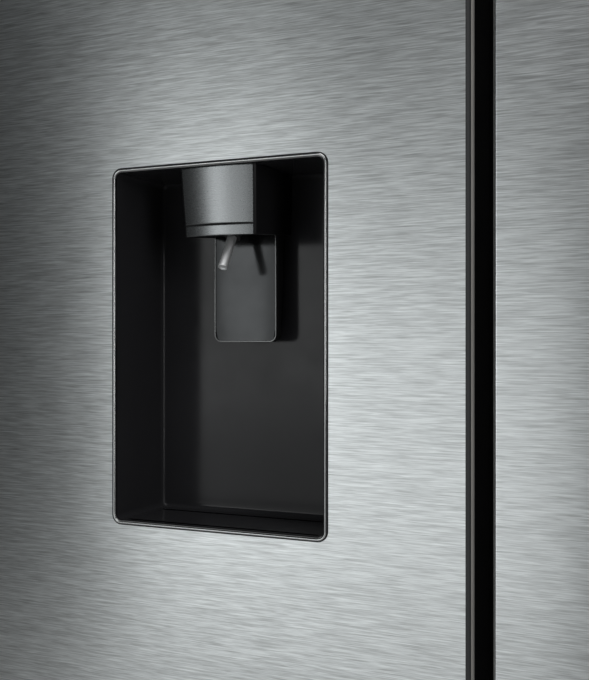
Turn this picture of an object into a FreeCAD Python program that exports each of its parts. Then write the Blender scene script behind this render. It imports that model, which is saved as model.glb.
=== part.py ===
"""Side by side refrigerator with a water and ice dispenser in the freezer door.

Millimetres, +Z up, the doors face -Y and the origin is on the floor under the middle of the case.
Every size below is a cell of the spreadsheet "Sizes"; the shapes are bound to those cells.
"""

import FreeCAD, Part
import math
import os
import re

import Sketcher
from FreeCAD import Placement, Rotation, Vector

# ---------------------------------------------------------------- driving dimensions
SIZES = {
    # overall box
    "total_width": 912, "total_depth": 716, "total_height": 1780,
    # cabinet
    "base_height": 36, "cover_height": 30, "rib_depth": 12, "sheet": 1, "pan_sheet": 2,
    "liner_wall": 2, "side_wall": 50, "top_wall": 55, "back_wall": 59, "floor_level": 112,
    "mullion_width": 54, "machine_depth": 210, "machine_top": 284, "machine_wall": 45,
    "case_round": 4, "liner_round": 14, "ledge_width": 9, "ledge_height": 6, "fit_gap": 0.5,
    # doors
    "door_thick": 70, "door_bottom": 62, "door_top": 1747, "door_gap": 15, "seal_gap": 12,
    "freezer_door_width": 402, "dispenser_inset": 192.5, "cap_height": 14, "door_round": 6,
    "return_back": 6,
    "dyke_clear": 8, "dyke_thick": 16, "dyke_depth": 34, "bin_wall": 2.5, "bin_height": 112,
    "freezer_bin_reach": 82, "fridge_bin_reach": 92, "bin_round": 12,
    "gasket_inset": 14, "gasket_latch_inset": 1.5, "gasket_end_inset": 12,
    "gasket_width": 18, "gasket_depth": 11.6, "gasket_round": 5,
    # latch edge profile with its finger pocket
    "edge_round": 3, "flange_depth": 12, "grip_depth": 22, "grip_wall": 4, "grip_start": 22,
    "grip_end": 48, "grip_slope": 8, "trim_clear": 0.2,
    # hinges
    "hinge_side": 18, "hinge_back": 30, "pin_radius": 5, "pin_gap": 0.08, "pin_reach": 13,
    "bracket_thick": 4, "bracket_width": 56, "bracket_clear": 7,
    # dispenser
    "bezel_proud": 1.5, "bezel_width": 181.4, "bezel_height": 276.5, "bezel_rim": 3.4,
    "bezel_round": 8, "bezel_edge": 1.2, "dispenser_level": 1150, "recess_depth": 69,
    "recess_wall": 2, "recess_round": 5, "well_depth": 12, "well_margin": 6,
    "well_front": 4, "well_back": 60, "pod_half": 105, "pod_depth": 109, "pod_top": 245,
    "pod_bottom": 165,
    # spout
    "spout_top_half": 32.2, "spout_bottom_half": 30.4, "spout_bottom": 83, "spout_rise": 5,
    "spout_front": 3, "spout_lean": 4.5, "spout_wall": 2.5, "face_margin": 2, "face_radius": 146.5,
    "face_proud": 0.5, "band_height": 8, "band_gap": 1, "nozzle_radius": 3.6,
    "nozzle_bore": 2.3, "nozzle_tilt": 32, "nozzle_tip_y": 12, "nozzle_tip_z": 59.5,
    "nozzle_length": 34, "boss_half": 7, "boss_back": 38, "boss_low": 85, "boss_high": 92,
    # paddle and ice flap
    "paddle_half": 27.4, "paddle_front": 48.5, "paddle_top_back": 64.5, "paddle_low_back": 58,
    "paddle_low": 3.3, "paddle_high": 92, "paddle_round": 6, "neck_half": 16, "neck_front": 53,
    "neck_top": 110, "paddle_axis_y": 60, "paddle_axis_z": 104, "paddle_pin": 2.5,
    "flap_half": 21.5, "flap_front": 22, "flap_axis_y": 61, "flap_axis_z": 129, "flap_pin": 1.8,
    "flap_low": 129.5, "flap_high": 132.5, "small_pin_gap": 0.08,
    "chute_half": 22, "chute_wall": 2, "chute_front": 20, "chute_size": 42, "chute_lean": 44,
    # running gear
    "roller_radius": 17, "roller_half": 11, "roller_x": 380, "roller_y": 270, "axle_radius": 4,
    "ear_thick": 3, "ear_low": 8, "foot_x": 395, "foot_y": -225, "foot_radius": 20,
    "foot_height": 6, "collar_radius": 11, "collar_top": 15, "stud_radius": 6, "stud_top": 62,
    # compartments
    "duct_front": 222, "duct_plate": 3, "shelf_front": -150, "shelf_frame": 14,
    "shelf_thick": 12, "pane_thick": 4, "drawer_front": -160, "drawer_wall": 2.5,
    "drawer_inset": 14, "flange_width": 8, "flange_thick": 2.5, "flange_start": 60, "slide_gap": 0.3,
    "drawer_low": 120, "drawer_mid": 318, "drawer_up": 342, "drawer_round": 10,
    "freezer_drawer_top": 560, "crisper_top": 530, "notch_half": 60, "notch_depth": 24,
}

doc = FreeCAD.newDocument("refrigerator")
sheet = doc.addObject("Spreadsheet::Sheet", "Sizes")
for row, (alias, size) in enumerate(SIZES.items(), start=1):
    sheet.set(f"A{row}", alias)
    sheet.set(f"B{row}", str(size))
    sheet.setAlias(f"B{row}", alias)
doc.recompute()

# ---------------------------------------------------------------- derived places
HALF = "total_width / 2"
DOOR_FRONT = "(-total_depth / 2 + bezel_proud)"
DOOR_BACK = f"({DOOR_FRONT} + door_thick)"
CASE_FRONT = f"({DOOR_BACK} + seal_gap)"
CASE_BACK = "(total_depth / 2 - rib_depth)"
CASE_TOP = "(total_height - cover_height)"
MULLION = "(-total_width / 2 + freezer_door_width + door_gap / 2)"
CEILING = f"({CASE_TOP} - top_wall)"
INNER_BACK = f"({CASE_BACK} - back_wall)"
MACHINE_FRONT = f"({CASE_BACK} - machine_depth)"
STEP_FRONT = f"({MACHINE_FRONT} - machine_wall)"
STEP_TOP = "(machine_top + machine_wall)"
FREEZER_X = ("(-total_width / 2 + side_wall)", f"({MULLION} - mullion_width / 2)")
FRIDGE_X = (f"({MULLION} + mullion_width / 2)", "(total_width / 2 - side_wall)")
HINGE_Y = f"({DOOR_BACK} - hinge_back)"
DISPENSER_X = "(-total_width / 2 + freezer_door_width - dispenser_inset)"
FREEZER_SHELVES = (700, 930, 1160, 1384)
FRIDGE_SHELVES = (560, 800, 1040, 1280, 1490)
FREEZER_BINS = (150, 420, 690, 1480)
FRIDGE_BINS = (150, 450, 760, 1070, 1380)

nodes = []


# ---------------------------------------------------------------- helpers
def linked(expression):
    """The expression with every size name pointing at its cell of the spreadsheet."""
    return re.sub(r"[a-z_]+\w*", lambda m: f"Sizes.{m[0]}" if m[0] in SIZES else m[0], str(expression))


def value(expression):
    """The number an expression stands for."""
    return float(sheet.evalExpression(str(expression)))


def bind(item, prop, expression):
    """Ties one property of an object to the spreadsheet."""
    item.setExpression(prop, linked(expression))
    return item


def place(item, x=0, y=0, z=0, rotation=None):
    """Binds the position of an object, with an optional fixed rotation."""
    item.Placement = Placement(Vector(value(x), value(y), value(z)), rotation or Rotation())
    for axis, expression in zip("xyz", (x, y, z)):
        bind(item, f".Placement.Base.{axis}", expression)
    return item


def ordered(pair):
    """A pair of expressions, smaller first."""
    return pair if value(pair[0]) <= value(pair[1]) else (pair[1], pair[0])


def block(name, x, y, z):
    """A box between pairs of expressions."""
    (x0, x1), (y0, y1), (z0, z1) = ordered(x), ordered(y), ordered(z)
    item = doc.addObject("Part::Box", name)
    bind(item, "Length", f"({x1}) - ({x0})")
    bind(item, "Width", f"({y1}) - ({y0})")
    bind(item, "Height", f"({z1}) - ({z0})")
    return place(item, x0, y0, z0)


TURN = {"x": Rotation(Vector(0, 1, 0), 90), "y": Rotation(Vector(1, 0, 0), -90), "z": Rotation()}


def rod(name, radius, length, at, axis="z"):
    """A cylinder that starts at a point and runs along a row axis."""
    item = doc.addObject("Part::Cylinder", name)
    bind(item, "Radius", radius)
    bind(item, "Height", length)
    return place(item, *at, rotation=TURN[axis])


def polygon(body, plane, points):
    """A closed outline on one of the body's origin planes, each corner held by two bound distances."""
    sketch = body.newObject("Sketcher::SketchObject", f"{body.Name}_sketch")
    role = {"xy": "XY_Plane", "xz": "XZ_Plane", "yz": "YZ_Plane"}[plane]
    sketch.AttachmentSupport = [(f, "") for f in body.Origin.OriginFeatures if f.Role == role]
    sketch.MapMode = "FlatFace"
    corners = [Vector(value(u), value(v), 0) for u, v in points]
    count = len(corners)
    for i in range(count):
        sketch.addGeometry(Part.LineSegment(corners[i], corners[(i + 1) % count]), False)
    for i in range(count):
        sketch.addConstraint(Sketcher.Constraint("Coincident", i, 2, (i + 1) % count, 1))
    for i, (u, v) in enumerate(points):
        for kind, expression in (("DistanceX", u), ("DistanceY", v)):
            index = sketch.addConstraint(Sketcher.Constraint(kind, -1, 1, i, 1, value(expression)))
            sketch.setExpression(f"Constraints[{index}]", linked(expression))
    return sketch, corners


def edges_where(shape, test):
    """The names of the edges that pass a test."""
    return [f"Edge{i}" for i, edge in enumerate(shape.Edges, start=1) if test(edge)]


def rounded(body, base, names, radius):
    """A fillet on named edges of the body's last feature."""
    fillet = body.newObject("PartDesign::Fillet", f"{body.Name}_round")
    fillet.Base = (base, names)
    bind(fillet, "Radius", radius)
    doc.recompute()
    return fillet


def prism(name, plane, points, span, rounds=()):
    """An outline swept straight along the normal of its plane; rounds are (corner numbers, radius)."""
    low, high = ordered(span)
    body = doc.addObject("PartDesign::Body", name)
    sketch, corners = polygon(body, plane, points)
    pad = body.newObject("PartDesign::Pad", f"{name}_pad")
    pad.Profile = sketch
    bind(pad, "Length", f"({high}) - ({low})")
    start = {"xy": {"z": low}, "yz": {"x": low}, "xz": {"y": high}}[plane]
    place(body, **start)
    doc.recompute()
    first, second = {"xy": ("x", "y"), "xz": ("x", "z"), "yz": ("y", "z")}[plane]
    last = pad
    for numbers, radius in rounds:
        spots = [corners[n] for n in numbers]

        def at_corner(edge):
            ends = [(getattr(v.Point, first), getattr(v.Point, second)) for v in edge.Vertexes]
            return any(all(math.dist(e, (s.x, s.y)) < 1e-4 for e in ends) for s in spots)

        last = rounded(body, last, edges_where(last.Shape, at_corner), radius)
    body.Tip = last
    return body


def rectangle(u, v):
    """The four corners of a rectangle, anticlockwise from the low corner."""
    (u0, u1), (v0, v1) = ordered(u), ordered(v)
    return [(u0, v0), (u1, v0), (u1, v1), (u0, v1)]


def turned(name, points, at, axis="z"):
    """A body of revolution: points are (radius, distance along the axis)."""
    body = doc.addObject("PartDesign::Body", name)
    sketch, _ = polygon(body, "xz", points)
    revolution = body.newObject("PartDesign::Revolution", f"{name}_turn")
    revolution.Profile = sketch
    revolution.ReferenceAxis = (sketch, ["V_Axis"])
    revolution.Angle = 360
    return place(body, *at, rotation=TURN[axis])


def fuse(name, *parts):
    """One solid from several."""
    item = doc.addObject("Part::MultiFuse", name)
    item.Shapes = list(parts)
    item.Refine = True
    return item


def group(name, *parts):
    """Separate solids that share a node."""
    item = doc.addObject("Part::Compound", name)
    item.Links = list(parts)
    return item


def cut(name, base, *tools):
    """The base less all the tools."""
    item = doc.addObject("Part::Cut", name)
    item.Base = base
    item.Tool = tools[0] if len(tools) == 1 else fuse(f"{name}_tools", *tools)
    item.Refine = True
    return item


def common(name, one, other):
    """What two solids share."""
    item = doc.addObject("Part::Common", name)
    item.Base, item.Tool = one, other
    return item


def node(label, item):
    """Marks an object as a sub-part, named by its label."""
    item.Label = label
    nodes.append(item)
    return item


def moved(pair, low, high):
    """A pair of expressions with its ends moved inwards."""
    return f"({pair[0]} + ({low}))", f"({pair[1]} - ({high}))"


# ---------------------------------------------------------------- cabinet
def cavity(name, x, inset):
    """The stepped space of one compartment, with its walls moved in by inset; it runs out at the front."""
    front = f"({CASE_FRONT} - {2 if value(inset) else 0})"
    outline = [
        (front, f"floor_level + {inset}"),
        (f"{STEP_FRONT} - {inset}", f"floor_level + {inset}"),
        (f"{STEP_FRONT} - {inset}", f"{STEP_TOP} + {inset}"),
        (f"{INNER_BACK} - {inset}", f"{STEP_TOP} + {inset}"),
        (f"{INNER_BACK} - {inset}", f"{CEILING} - {inset}"),
        (front, f"{CEILING} - {inset}"),
    ]
    return prism(name, "yz", outline, moved(x, inset, inset), [((3, 4), f"liner_round - {inset}")])


def rail(top):
    """Height of the ledges that carry a drawer whose flanges end at that top."""
    return f"{top} - flange_thick - slide_gap"


def make_case():
    outer = prism(
        "case_outer", "xz",
        rectangle((f"-{HALF}", HALF), ("base_height", CASE_TOP)),
        (CASE_FRONT, CASE_BACK), [((2, 3), "case_round")],
    )
    inner = prism(
        "case_inner", "xz",
        rectangle((f"-{HALF} + sheet", f"{HALF} - sheet"), ("base_height - 1", f"{CASE_TOP} - sheet")),
        (f"{CASE_FRONT} + sheet", f"{CASE_BACK} + 1"), [((2, 3), "case_round - sheet")],
    )
    openings = [
        block(f"{name}_opening", x, (f"{CASE_FRONT} - 1", f"{CASE_FRONT} + 2"), ("floor_level", CEILING))
        for name, x in (("freezer", FREEZER_X), ("fridge", FRIDGE_X))
    ]
    node("cabinet_shell", cut("shell", outer, inner, *openings))

    foam_outline = [
        (f"{CASE_FRONT} + sheet", "base_height + pan_sheet"),
        (MACHINE_FRONT, "base_height + pan_sheet"),
        (MACHINE_FRONT, "machine_top"),
        (f"{CASE_BACK} - sheet", "machine_top"),
        (f"{CASE_BACK} - sheet", f"{CASE_TOP} - sheet"),
        (f"{CASE_FRONT} + sheet", f"{CASE_TOP} - sheet"),
    ]
    foam_width = (f"-{HALF} + sheet + case_round", f"{HALF} - sheet - case_round")
    side_foam = [
        block(
            f"foam_{side}", (f"{sign}({HALF} - sheet)", f"{sign}({HALF} - sheet - case_round)"),
            (f"{CASE_FRONT} + sheet", f"{CASE_BACK} - sheet"),
            ("machine_top", f"{CASE_TOP} - case_round - sheet"),
        )
        for side, sign in (("left", "-"), ("right", ""))
    ]
    low_foam = [
        block(
            f"low_foam_{side}", (f"{sign}({HALF} - sheet)", f"{sign}({HALF} - sheet - case_round)"),
            (f"{CASE_FRONT} + sheet", MACHINE_FRONT), ("base_height + pan_sheet", "machine_top"),
        )
        for side, sign in (("left", "-"), ("right", ""))
    ]
    block_foam = fuse(
        "foam_block", prism("foam_core", "yz", foam_outline, foam_width), *side_foam, *low_foam
    )
    foot_pockets = [
        rod(
            f"foot_pocket_{i}",
            "stud_radius + 3",
            "stud_top - base_height + 4",
            (x, "foot_y", "base_height"),
        )
        for i, x in enumerate(("-foot_x", "foot_x"))
    ]
    spaces = [cavity("freezer_space", FREEZER_X, 0), cavity("fridge_space", FRIDGE_X, 0)]
    node("cabinet_insulation", cut("insulation", block_foam, *spaces, *foot_pockets))

    for side, x, levels in (
        ("freezer", FREEZER_X, (*FREEZER_SHELVES, *map(rail, ("drawer_mid", "freezer_drawer_top")))),
        ("fridge", FRIDGE_X, (*FRIDGE_SHELVES, *map(rail, ("drawer_mid", "crisper_top")))),
    ):
        shell = cut(
            f"{side}_liner_shell",
            cavity(f"{side}_liner_outer", x, 0),
            cavity(f"{side}_liner_inner", x, "liner_wall"),
        )
        deep = "duct_front - 4" if side == "freezer" else f"{INNER_BACK} - liner_wall - 10"
        ledges = []
        for i, level in enumerate(levels):
            back = deep if value(level) > value(STEP_TOP) else f"{STEP_FRONT} - liner_wall / 2"
            for j, edge in enumerate((f"{x[0]} + liner_wall", f"{x[1]} - liner_wall")):
                inward = f"({edge}) + ledge_width * {1 - 2 * j}"
                outward = f"({edge}) - {(1 - 2 * j) * 0.5}"
                ledges.append(
                    block(
                        f"{side}_ledge_{i}_{j}", (outward, inward), ("shelf_front + 6", back),
                        (f"{level} - ledge_height", f"{level}"),
                    )
                )
        node(f"{side}_liner", fuse(f"{side}_liner_part", shell, *ledges))


def make_back_panel():
    """Rear sheet with two pressed ribs that stand the case off the wall."""
    rib_x, foot, crest, slope = 250, 20, 10, "sheet / 2"
    rear = [(f"-{HALF} + sheet", CASE_BACK)]
    front = [(f"-{HALF} + sheet", f"{CASE_BACK} - sheet")]
    for centre in (-rib_x, rib_x):
        rear += [
            (centre - foot, CASE_BACK), (centre - crest, "total_depth / 2"),
            (centre + crest, "total_depth / 2"), (centre + foot, CASE_BACK),
        ]
        front += [
            (f"{centre - foot} + {slope}", f"{CASE_BACK} - sheet"),
            (f"{centre - crest} + {slope}", "total_depth / 2 - sheet"),
            (f"{centre + crest} - {slope}", "total_depth / 2 - sheet"),
            (f"{centre + foot} - {slope}", f"{CASE_BACK} - sheet"),
        ]
    rear.append((f"{HALF} - sheet", CASE_BACK))
    front.append((f"{HALF} - sheet", f"{CASE_BACK} - sheet"))
    node(
        "back_panel",
        prism("rear_sheet", "xy", front + rear[::-1], ("machine_top", f"{CASE_TOP} - sheet - case_round")),
    )


def make_base():
    """Steel pan under the case, with the ears that carry the rear rollers."""
    plate = block(
        "pan_plate", (f"-{HALF} + sheet", f"{HALF} - sheet"),
        (f"{CASE_FRONT} + sheet", f"{CASE_BACK} - 3"), ("base_height", "base_height + pan_sheet"),
    )
    ears, bores = [], []
    for i, x in enumerate(("-roller_x", "roller_x")):
        for j, sign in enumerate("-+"):
            near = f"{x} {sign} (roller_half + 1)"
            far = f"{x} {sign} (roller_half + 1 + ear_thick)"
            ears.append(
                block(
                    f"ear_{i}{j}",
                    (near, far),
                    ("roller_y - roller_radius", "roller_y + roller_radius"),
                    ("ear_low", "base_height + 1"),
                )
            )
        bores.append(
            rod(
                f"ear_bore_{i}",
                "axle_radius + pin_gap",
                "4 * roller_radius",
                (f"{x} - 2 * roller_radius", "roller_y", "roller_radius"),
                "x",
            )
        )
    for i, x in enumerate(("-foot_x", "foot_x")):
        bores.append(rod(f"foot_bore_{i}", "stud_radius + pin_gap", "10", (x, "foot_y", "base_height - 4")))
    node("base_pan", cut("pan", fuse("pan_block", plate, *ears), *bores))

    for side, sign in (("left", "-"), ("right", "")):
        profile = [
            (0, "-roller_half - ear_thick - 1"), ("axle_radius", "-roller_half - ear_thick - 1"),
            ("axle_radius", "-roller_half"), ("roller_radius - 1.5", "-roller_half"),
            ("roller_radius", "-roller_half + 1.5"), ("roller_radius", "roller_half - 1.5"),
            ("roller_radius - 1.5", "roller_half"), ("axle_radius", "roller_half"),
            ("axle_radius", "roller_half + ear_thick + 1"), (0, "roller_half + ear_thick + 1"),
        ]
        node(
            f"rear_roller_{side}",
            turned(f"roller_{side}", profile, (f"{sign}roller_x", "roller_y", "roller_radius"), "x"),
        )
        profile = [
            (0, 0), ("foot_radius - 1", 0), ("foot_radius", 1), ("foot_radius", "foot_height - 1"),
            ("foot_radius - 3", "foot_height"), ("collar_radius", "foot_height"),
            ("collar_radius", "collar_top"), ("stud_radius", "collar_top"),
            ("stud_radius", "stud_top - 1"), ("stud_radius - 1", "stud_top"), (0, "stud_top"),
        ]
        node(f"leveling_foot_{side}", turned(f"foot_{side}", profile, (f"{sign}foot_x", "foot_y", 0)))


def slots(name, across, up, through, columns, rows, size):
    """A grid of slots cut along Y: across and up span the grid, size is one slot's width and height."""
    tools = []
    (x0, x1), (z0, z1) = [tuple(map(value, span)) for span in (across, up)]
    for i in range(columns):
        for j in range(rows):
            x = x0 + (x1 - x0) * (i + 0.5) / columns
            z = z0 + (z1 - z0) * (j + 0.5) / rows
            tools.append(
                block(
                    f"{name}_{i}_{j}",
                    (x - size[0] / 2, x + size[0] / 2),
                    through,
                    (z - size[1] / 2, z + size[1] / 2),
                )
            )
    return group(f"{name}_slots", *tools)


def make_toe_grille():
    front, thick, low, high, half = f"({CASE_FRONT} - 26)", 2.5, 8, 52, "(total_width / 2 - 16)"
    panel = prism(
        "toe_panel",
        "xz",
        rectangle((f"-{half}", half), (low, high)),
        (front, f"{front} + {thick}"),
        [((0, 1, 2, 3), 4)],
    )
    ribs = [
        block(f"toe_rib_{i}", (x - 3, x + 3), (f"{front} + {thick} - 0.5", CASE_FRONT), (38, 50))
        for i, x in enumerate((-330, -110, 110, 330))
    ]
    louvres = slots(
        "toe", ("-400", "400"), (14, 46), (f"{front} - 1", f"{front} + {thick} + 1"), 7, 4, (100, 3.6)
    )
    node("toe_grille", cut("toe", fuse("toe_block", panel, *ribs), louvres))


def make_machine_room():
    """What stands in the rear compartment: compressor, condenser, fan, valve, inlet and cover."""
    rear, inner = f"({CASE_BACK} - 0.5)", f"({CASE_BACK} - 2)"
    cover = block(
        "cover_plate",
        (f"-{HALF} + sheet", f"{HALF} - sheet"),
        (inner, rear),
        ("base_height + 4", "machine_top - 2"),
    )
    vents = [
        slots("cover_left", ("-330", "-130"), (70, 210), (f"{inner} - 1", f"{rear} + 1"), 3, 9, (56, 5)),
        slots("cover_right", ("20", "320"), (60, 210), (f"{inner} - 1", f"{rear} + 1"), 4, 10, (62, 5)),
    ]
    inlet_x, valve_x, port_z = -395, 395, 244
    holes = [
        block(
            "inlet_hole",
            (inlet_x - 14, inlet_x + 14),
            (f"{inner} - 1", f"{rear} + 1"),
            (port_z - 12, port_z + 12),
        ),
        rod("valve_hole", 15, 6, (valve_x, f"{inner} - 2", port_z), "y"),
    ]
    node("machine_cover", cut("cover", cover, *vents, *holes))

    socket = fuse(
        "socket_block",
        block(
            "socket_body",
            (inlet_x - 14, inlet_x + 14),
            (f"{inner} - 22", rear),
            (port_z - 12, port_z + 12),
        ),
        prism(
            "socket_flange",
            "xz",
            rectangle((inlet_x - 25, inlet_x + 25), (port_z - 15, port_z + 15)),
            (rear, f"{rear} + 3"),
            [((0, 1, 2, 3), 4)],
        ),
    )
    well = prism(
        "socket_well",
        "xz",
        rectangle((inlet_x - 11, inlet_x + 11), (port_z - 8, port_z + 8)),
        (f"{rear} - 14", f"{rear} + 4"),
        [((2, 3), 4)],
    )
    blades = [
        block(
            f"socket_blade_{i}",
            (inlet_x + dx - 1, inlet_x + dx + 1),
            (f"{rear} - 15", f"{rear} - 2"),
            (port_z + dz - 2.5, port_z + dz + 2.5),
        )
        for i, (dx, dz) in enumerate(((-6, -2), (0, 2), (6, -2)))
    ]
    node("power_inlet", fuse("socket", cut("socket_hollow", socket, well), *blades))

    thread_bore = rod("valve_bore", 8, 30, (valve_x, f"{rear} - 18", port_z), "y")
    valve = fuse(
        "valve_block",
        rod(
            "valve_stub",
            13.2,
            "total_depth / 2 - 1 - (" + inner + " - 20)",
            (valve_x, f"{inner} - 20", port_z),
            "y",
        ),
        block(
            "valve_body",
            (valve_x - 20, valve_x + 20),
            (f"{inner} - 48", f"{inner} - 18"),
            (port_z - 20, port_z + 20),
        ),
        rod("valve_coil", 15, 34, (valve_x, f"{inner} - 33", port_z - 54)),
        block(
            "valve_bracket",
            (valve_x + 20, f"{HALF} - sheet"),
            (f"{inner} - 44", f"{inner} - 24"),
            (port_z - 8, port_z - 5),
        ),
    )
    node("water_valve", cut("valve", valve, thread_bore))

    x, y, floor = -265, 240, "base_height + pan_sheet"
    dome = turned(
        "dome",
        [(0, 18), (50, 18), (68, 30), (76, 52), (76, 100), (70, 132), (52, 152), (24, 161), (0, 163)],
        (x, y, floor),
    )
    plate = prism(
        "dome_plate",
        "xy",
        rectangle((x - 100, x + 100), (y - 62, y + 62)),
        (f"{floor} + 12", f"{floor} + 20"),
        [((0, 1, 2, 3), 14)],
    )
    mounts = [
        rod(f"grommet_{i}", 12, 14, (x + dx, y + dy, floor))
        for i, (dx, dy) in enumerate(((-82, -44), (82, -44), (82, 44), (-82, 44)))
    ]
    box = prism(
        "terminal_box",
        "xz",
        rectangle((x - 26, x + 26), (104, 160)),
        (y - 96, y - 60),
        [((0, 1, 2, 3), 6)],
    )
    pipes = [
        rod(f"pipe_{i}", 4, 40, (x + dx, y + dy, 186))
        for i, (dx, dy) in enumerate(((-30, 20), (30, 20)))
    ]
    node("compressor", fuse("pump", dome, plate, box, *mounts, *pipes))

    coil("condenser", (70, 300), (165, 315), (62, 192), 6, 5, floor)

    shroud_x, fan_y, fan_z = 30, 240, 140
    board = block("shroud_board", (shroud_x, shroud_x + 3), (148, 332), (floor, 238))
    mouth = rod("shroud_mouth", 84, 8, (shroud_x - 2, fan_y, fan_z), "x")
    arms = []
    for i in range(3):
        arm = block(f"shroud_arm_{i}", (shroud_x, shroud_x + 3), (0, 88), (-4, 4))
        arm.Placement = Placement(
            Vector(shroud_x, fan_y, fan_z), Rotation(Vector(1, 0, 0), 90 + 120 * i)
        ) * Placement(Vector(0, 0, -4), Rotation())
        for axis in "xyz":
            arm.setExpression(f".Placement.Base.{axis}", None)
        arms.append(arm)
    motor = rod("shroud_motor", 20, 30, (shroud_x, fan_y, fan_z), "x")
    shaft = rod("shroud_shaft", 3, 34, (shroud_x - 32, fan_y, fan_z), "x")
    node("fan_shroud", fuse("shroud", cut("shroud_ring", board, mouth), *arms, motor, shaft))
    fan("condenser_fan", "x", (shroud_x - 26, fan_y, fan_z), 78, 24)


def fan(label, axis, at, radius, depth):
    """A five-bladed fan with a bored hub; its axis runs along a row axis from the given point."""
    hub_radius, bore, twist = 18, value("3 + pin_gap"), (52, 28)
    hub = Part.makeCylinder(hub_radius, depth).cut(Part.makeCylinder(bore, depth))
    blades = []
    for i in range(5):
        sections = []
        for reach, pitch in zip((hub_radius - 2, radius - 4), twist):
            chord, thick = (15 if reach < 30 else 27), 1
            corners = [
                Vector(reach, c, t)
                for c, t in ((-chord, -thick), (chord, -thick), (chord, thick), (-chord, thick))
            ]
            scale = min(1, (depth / 2 - 1.5) / (chord * math.sin(math.radians(pitch))))
            wire = Part.makePolygon([Vector(reach, p.y * scale, p.z) for p in [*corners, corners[0]]])
            wire.rotate(Vector(), Vector(1, 0, 0), pitch)
            wire.translate(Vector(0, 0, depth / 2))
            sections.append(wire)
        blade = Part.makeLoft(sections, True, True)
        blade.rotate(Vector(), Vector(0, 0, 1), 72 * i)
        blades.append(blade.cut(Part.makeCylinder(bore, depth)))
    shape = hub.fuse(blades).removeSplitter()
    item = doc.addObject("Part::Feature", label + "_part")
    item.Shape = shape
    item.Placement = Placement(Vector(*map(value, at)), TURN[axis])
    return node(label, item)


def coil(label, x, y, z, rows, layers, floor=None):
    """A tube bent to and fro along X, row by row and layer by layer, between two end plates."""
    tube, low, high = 4, x[0] + 14, x[1] - 14
    pitch_y, pitch_z = (y[1] - y[0]) / rows, (z[1] - z[0]) / layers
    spots = []
    for layer in range(layers):
        order = range(rows) if layer % 2 == 0 else range(rows - 1, -1, -1)
        spots += [(y[0] + (row + 0.5) * pitch_y, z[0] + (layer + 0.5) * pitch_z) for row in order]
    edges = []
    for i, (py, pz) in enumerate(spots):
        start, end = (low, high) if i % 2 == 0 else (high, low)
        edges.append(Part.makeLine(Vector(start, py, pz), Vector(end, py, pz)))
        if i + 1 < len(spots):
            ny, nz = spots[i + 1]
            reach = math.dist((py, pz), (ny, nz)) / 2 * (1 if end == high else -1)
            middle = Vector(end + reach, (py + ny) / 2, (pz + nz) / 2)
            edges.append(Part.Arc(Vector(end, py, pz), middle, Vector(end, ny, nz)).toShape())
    path = Part.Wire(edges)
    ring = Part.Wire(Part.makeCircle(tube, Vector(low, *spots[0]), Vector(1, 0, 0)))
    shape = path.makePipe(Part.Face(ring))
    base = value(floor) if floor else z[0]
    for side in (low, high - 2):
        shape = shape.fuse(Part.makeBox(2, y[1] - y[0], z[1] - base, Vector(side, y[0], base)))
    item = doc.addObject("Part::Feature", label + "_part")
    item.Shape = shape.removeSplitter()
    return node(label, item)


# ---------------------------------------------------------------- hinges and top cover
def make_hinges():
    for level, plate_z, pin_z, pin_length in (
        (
            "top",
            (CASE_TOP, f"{CASE_TOP} + bracket_thick"),
            "door_top - pin_reach",
            f"{CASE_TOP} - door_top + pin_reach + 1",
        ),
        (
            "bottom",
            ("door_bottom - 4 - bracket_thick", "door_bottom - 4"),
            "door_bottom - 5",
            "pin_reach + 5",
        ),
    ):
        pair = []
        for i, sign in enumerate(("-", "")):
            x = (f"{sign}({HALF} - bracket_clear)", f"{sign}({HALF} - bracket_width)")
            back = -160 if level == "top" else CASE_FRONT
            plate = prism(
                f"{level}_plate_{i}", "xy", rectangle(x, (f"{HINGE_Y} - 14", back)), plate_z,
                [((0, 1), 10)],
            )
            at = (f"{sign}({HALF} - hinge_side)", HINGE_Y)
            pieces = [plate, rod(f"{level}_pin_{i}", "pin_radius", pin_length, (*at, pin_z))]
            if level == "bottom":
                pieces.append(
                    block(
                        f"bottom_leg_{i}",
                        x,
                        (f"{CASE_FRONT} - bracket_thick", CASE_FRONT),
                        ("base_height + 3", plate_z[1]),
                    )
                )
                pieces.append(rod(f"bottom_washer_{i}", "pin_radius + 4", 3, (*at, f"{plate_z[1]} - 0.5")))
            pair.append(fuse(f"{level}_hinge_{i}", *pieces))
        node(f"{level}_hinges", group(f"{level}_pair", *pair))


def make_top_cover():
    """Full-width cover over the hinges and the wiring."""
    y, low = (f"({DOOR_FRONT} + 8)", -130), CASE_TOP
    outer = prism(
        "cover_outer",
        "xy",
        rectangle((f"-{HALF} + 3", f"{HALF} - 3"), y),
        (low, "total_height"),
        [((0, 1, 2, 3), 12)],
    )
    top = outer.Tip
    edges = edges_where(
        top.Shape, lambda e: all(v.Point.z > top.Shape.BoundBox.ZMax - 0.01 for v in e.Vertexes)
    )
    outer.Tip = rounded(outer, top, edges, 5)
    inner = prism(
        "cover_inner",
        "xy",
        rectangle((f"-{HALF} + 6", f"{HALF} - 6"), (f"{y[0]} + 3", -133)),
        (f"{low} - 1", "total_height - 3"),
        [((0, 1, 2, 3), 9)],
    )
    node("top_cover", cut("cover_shell", outer, inner))


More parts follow.
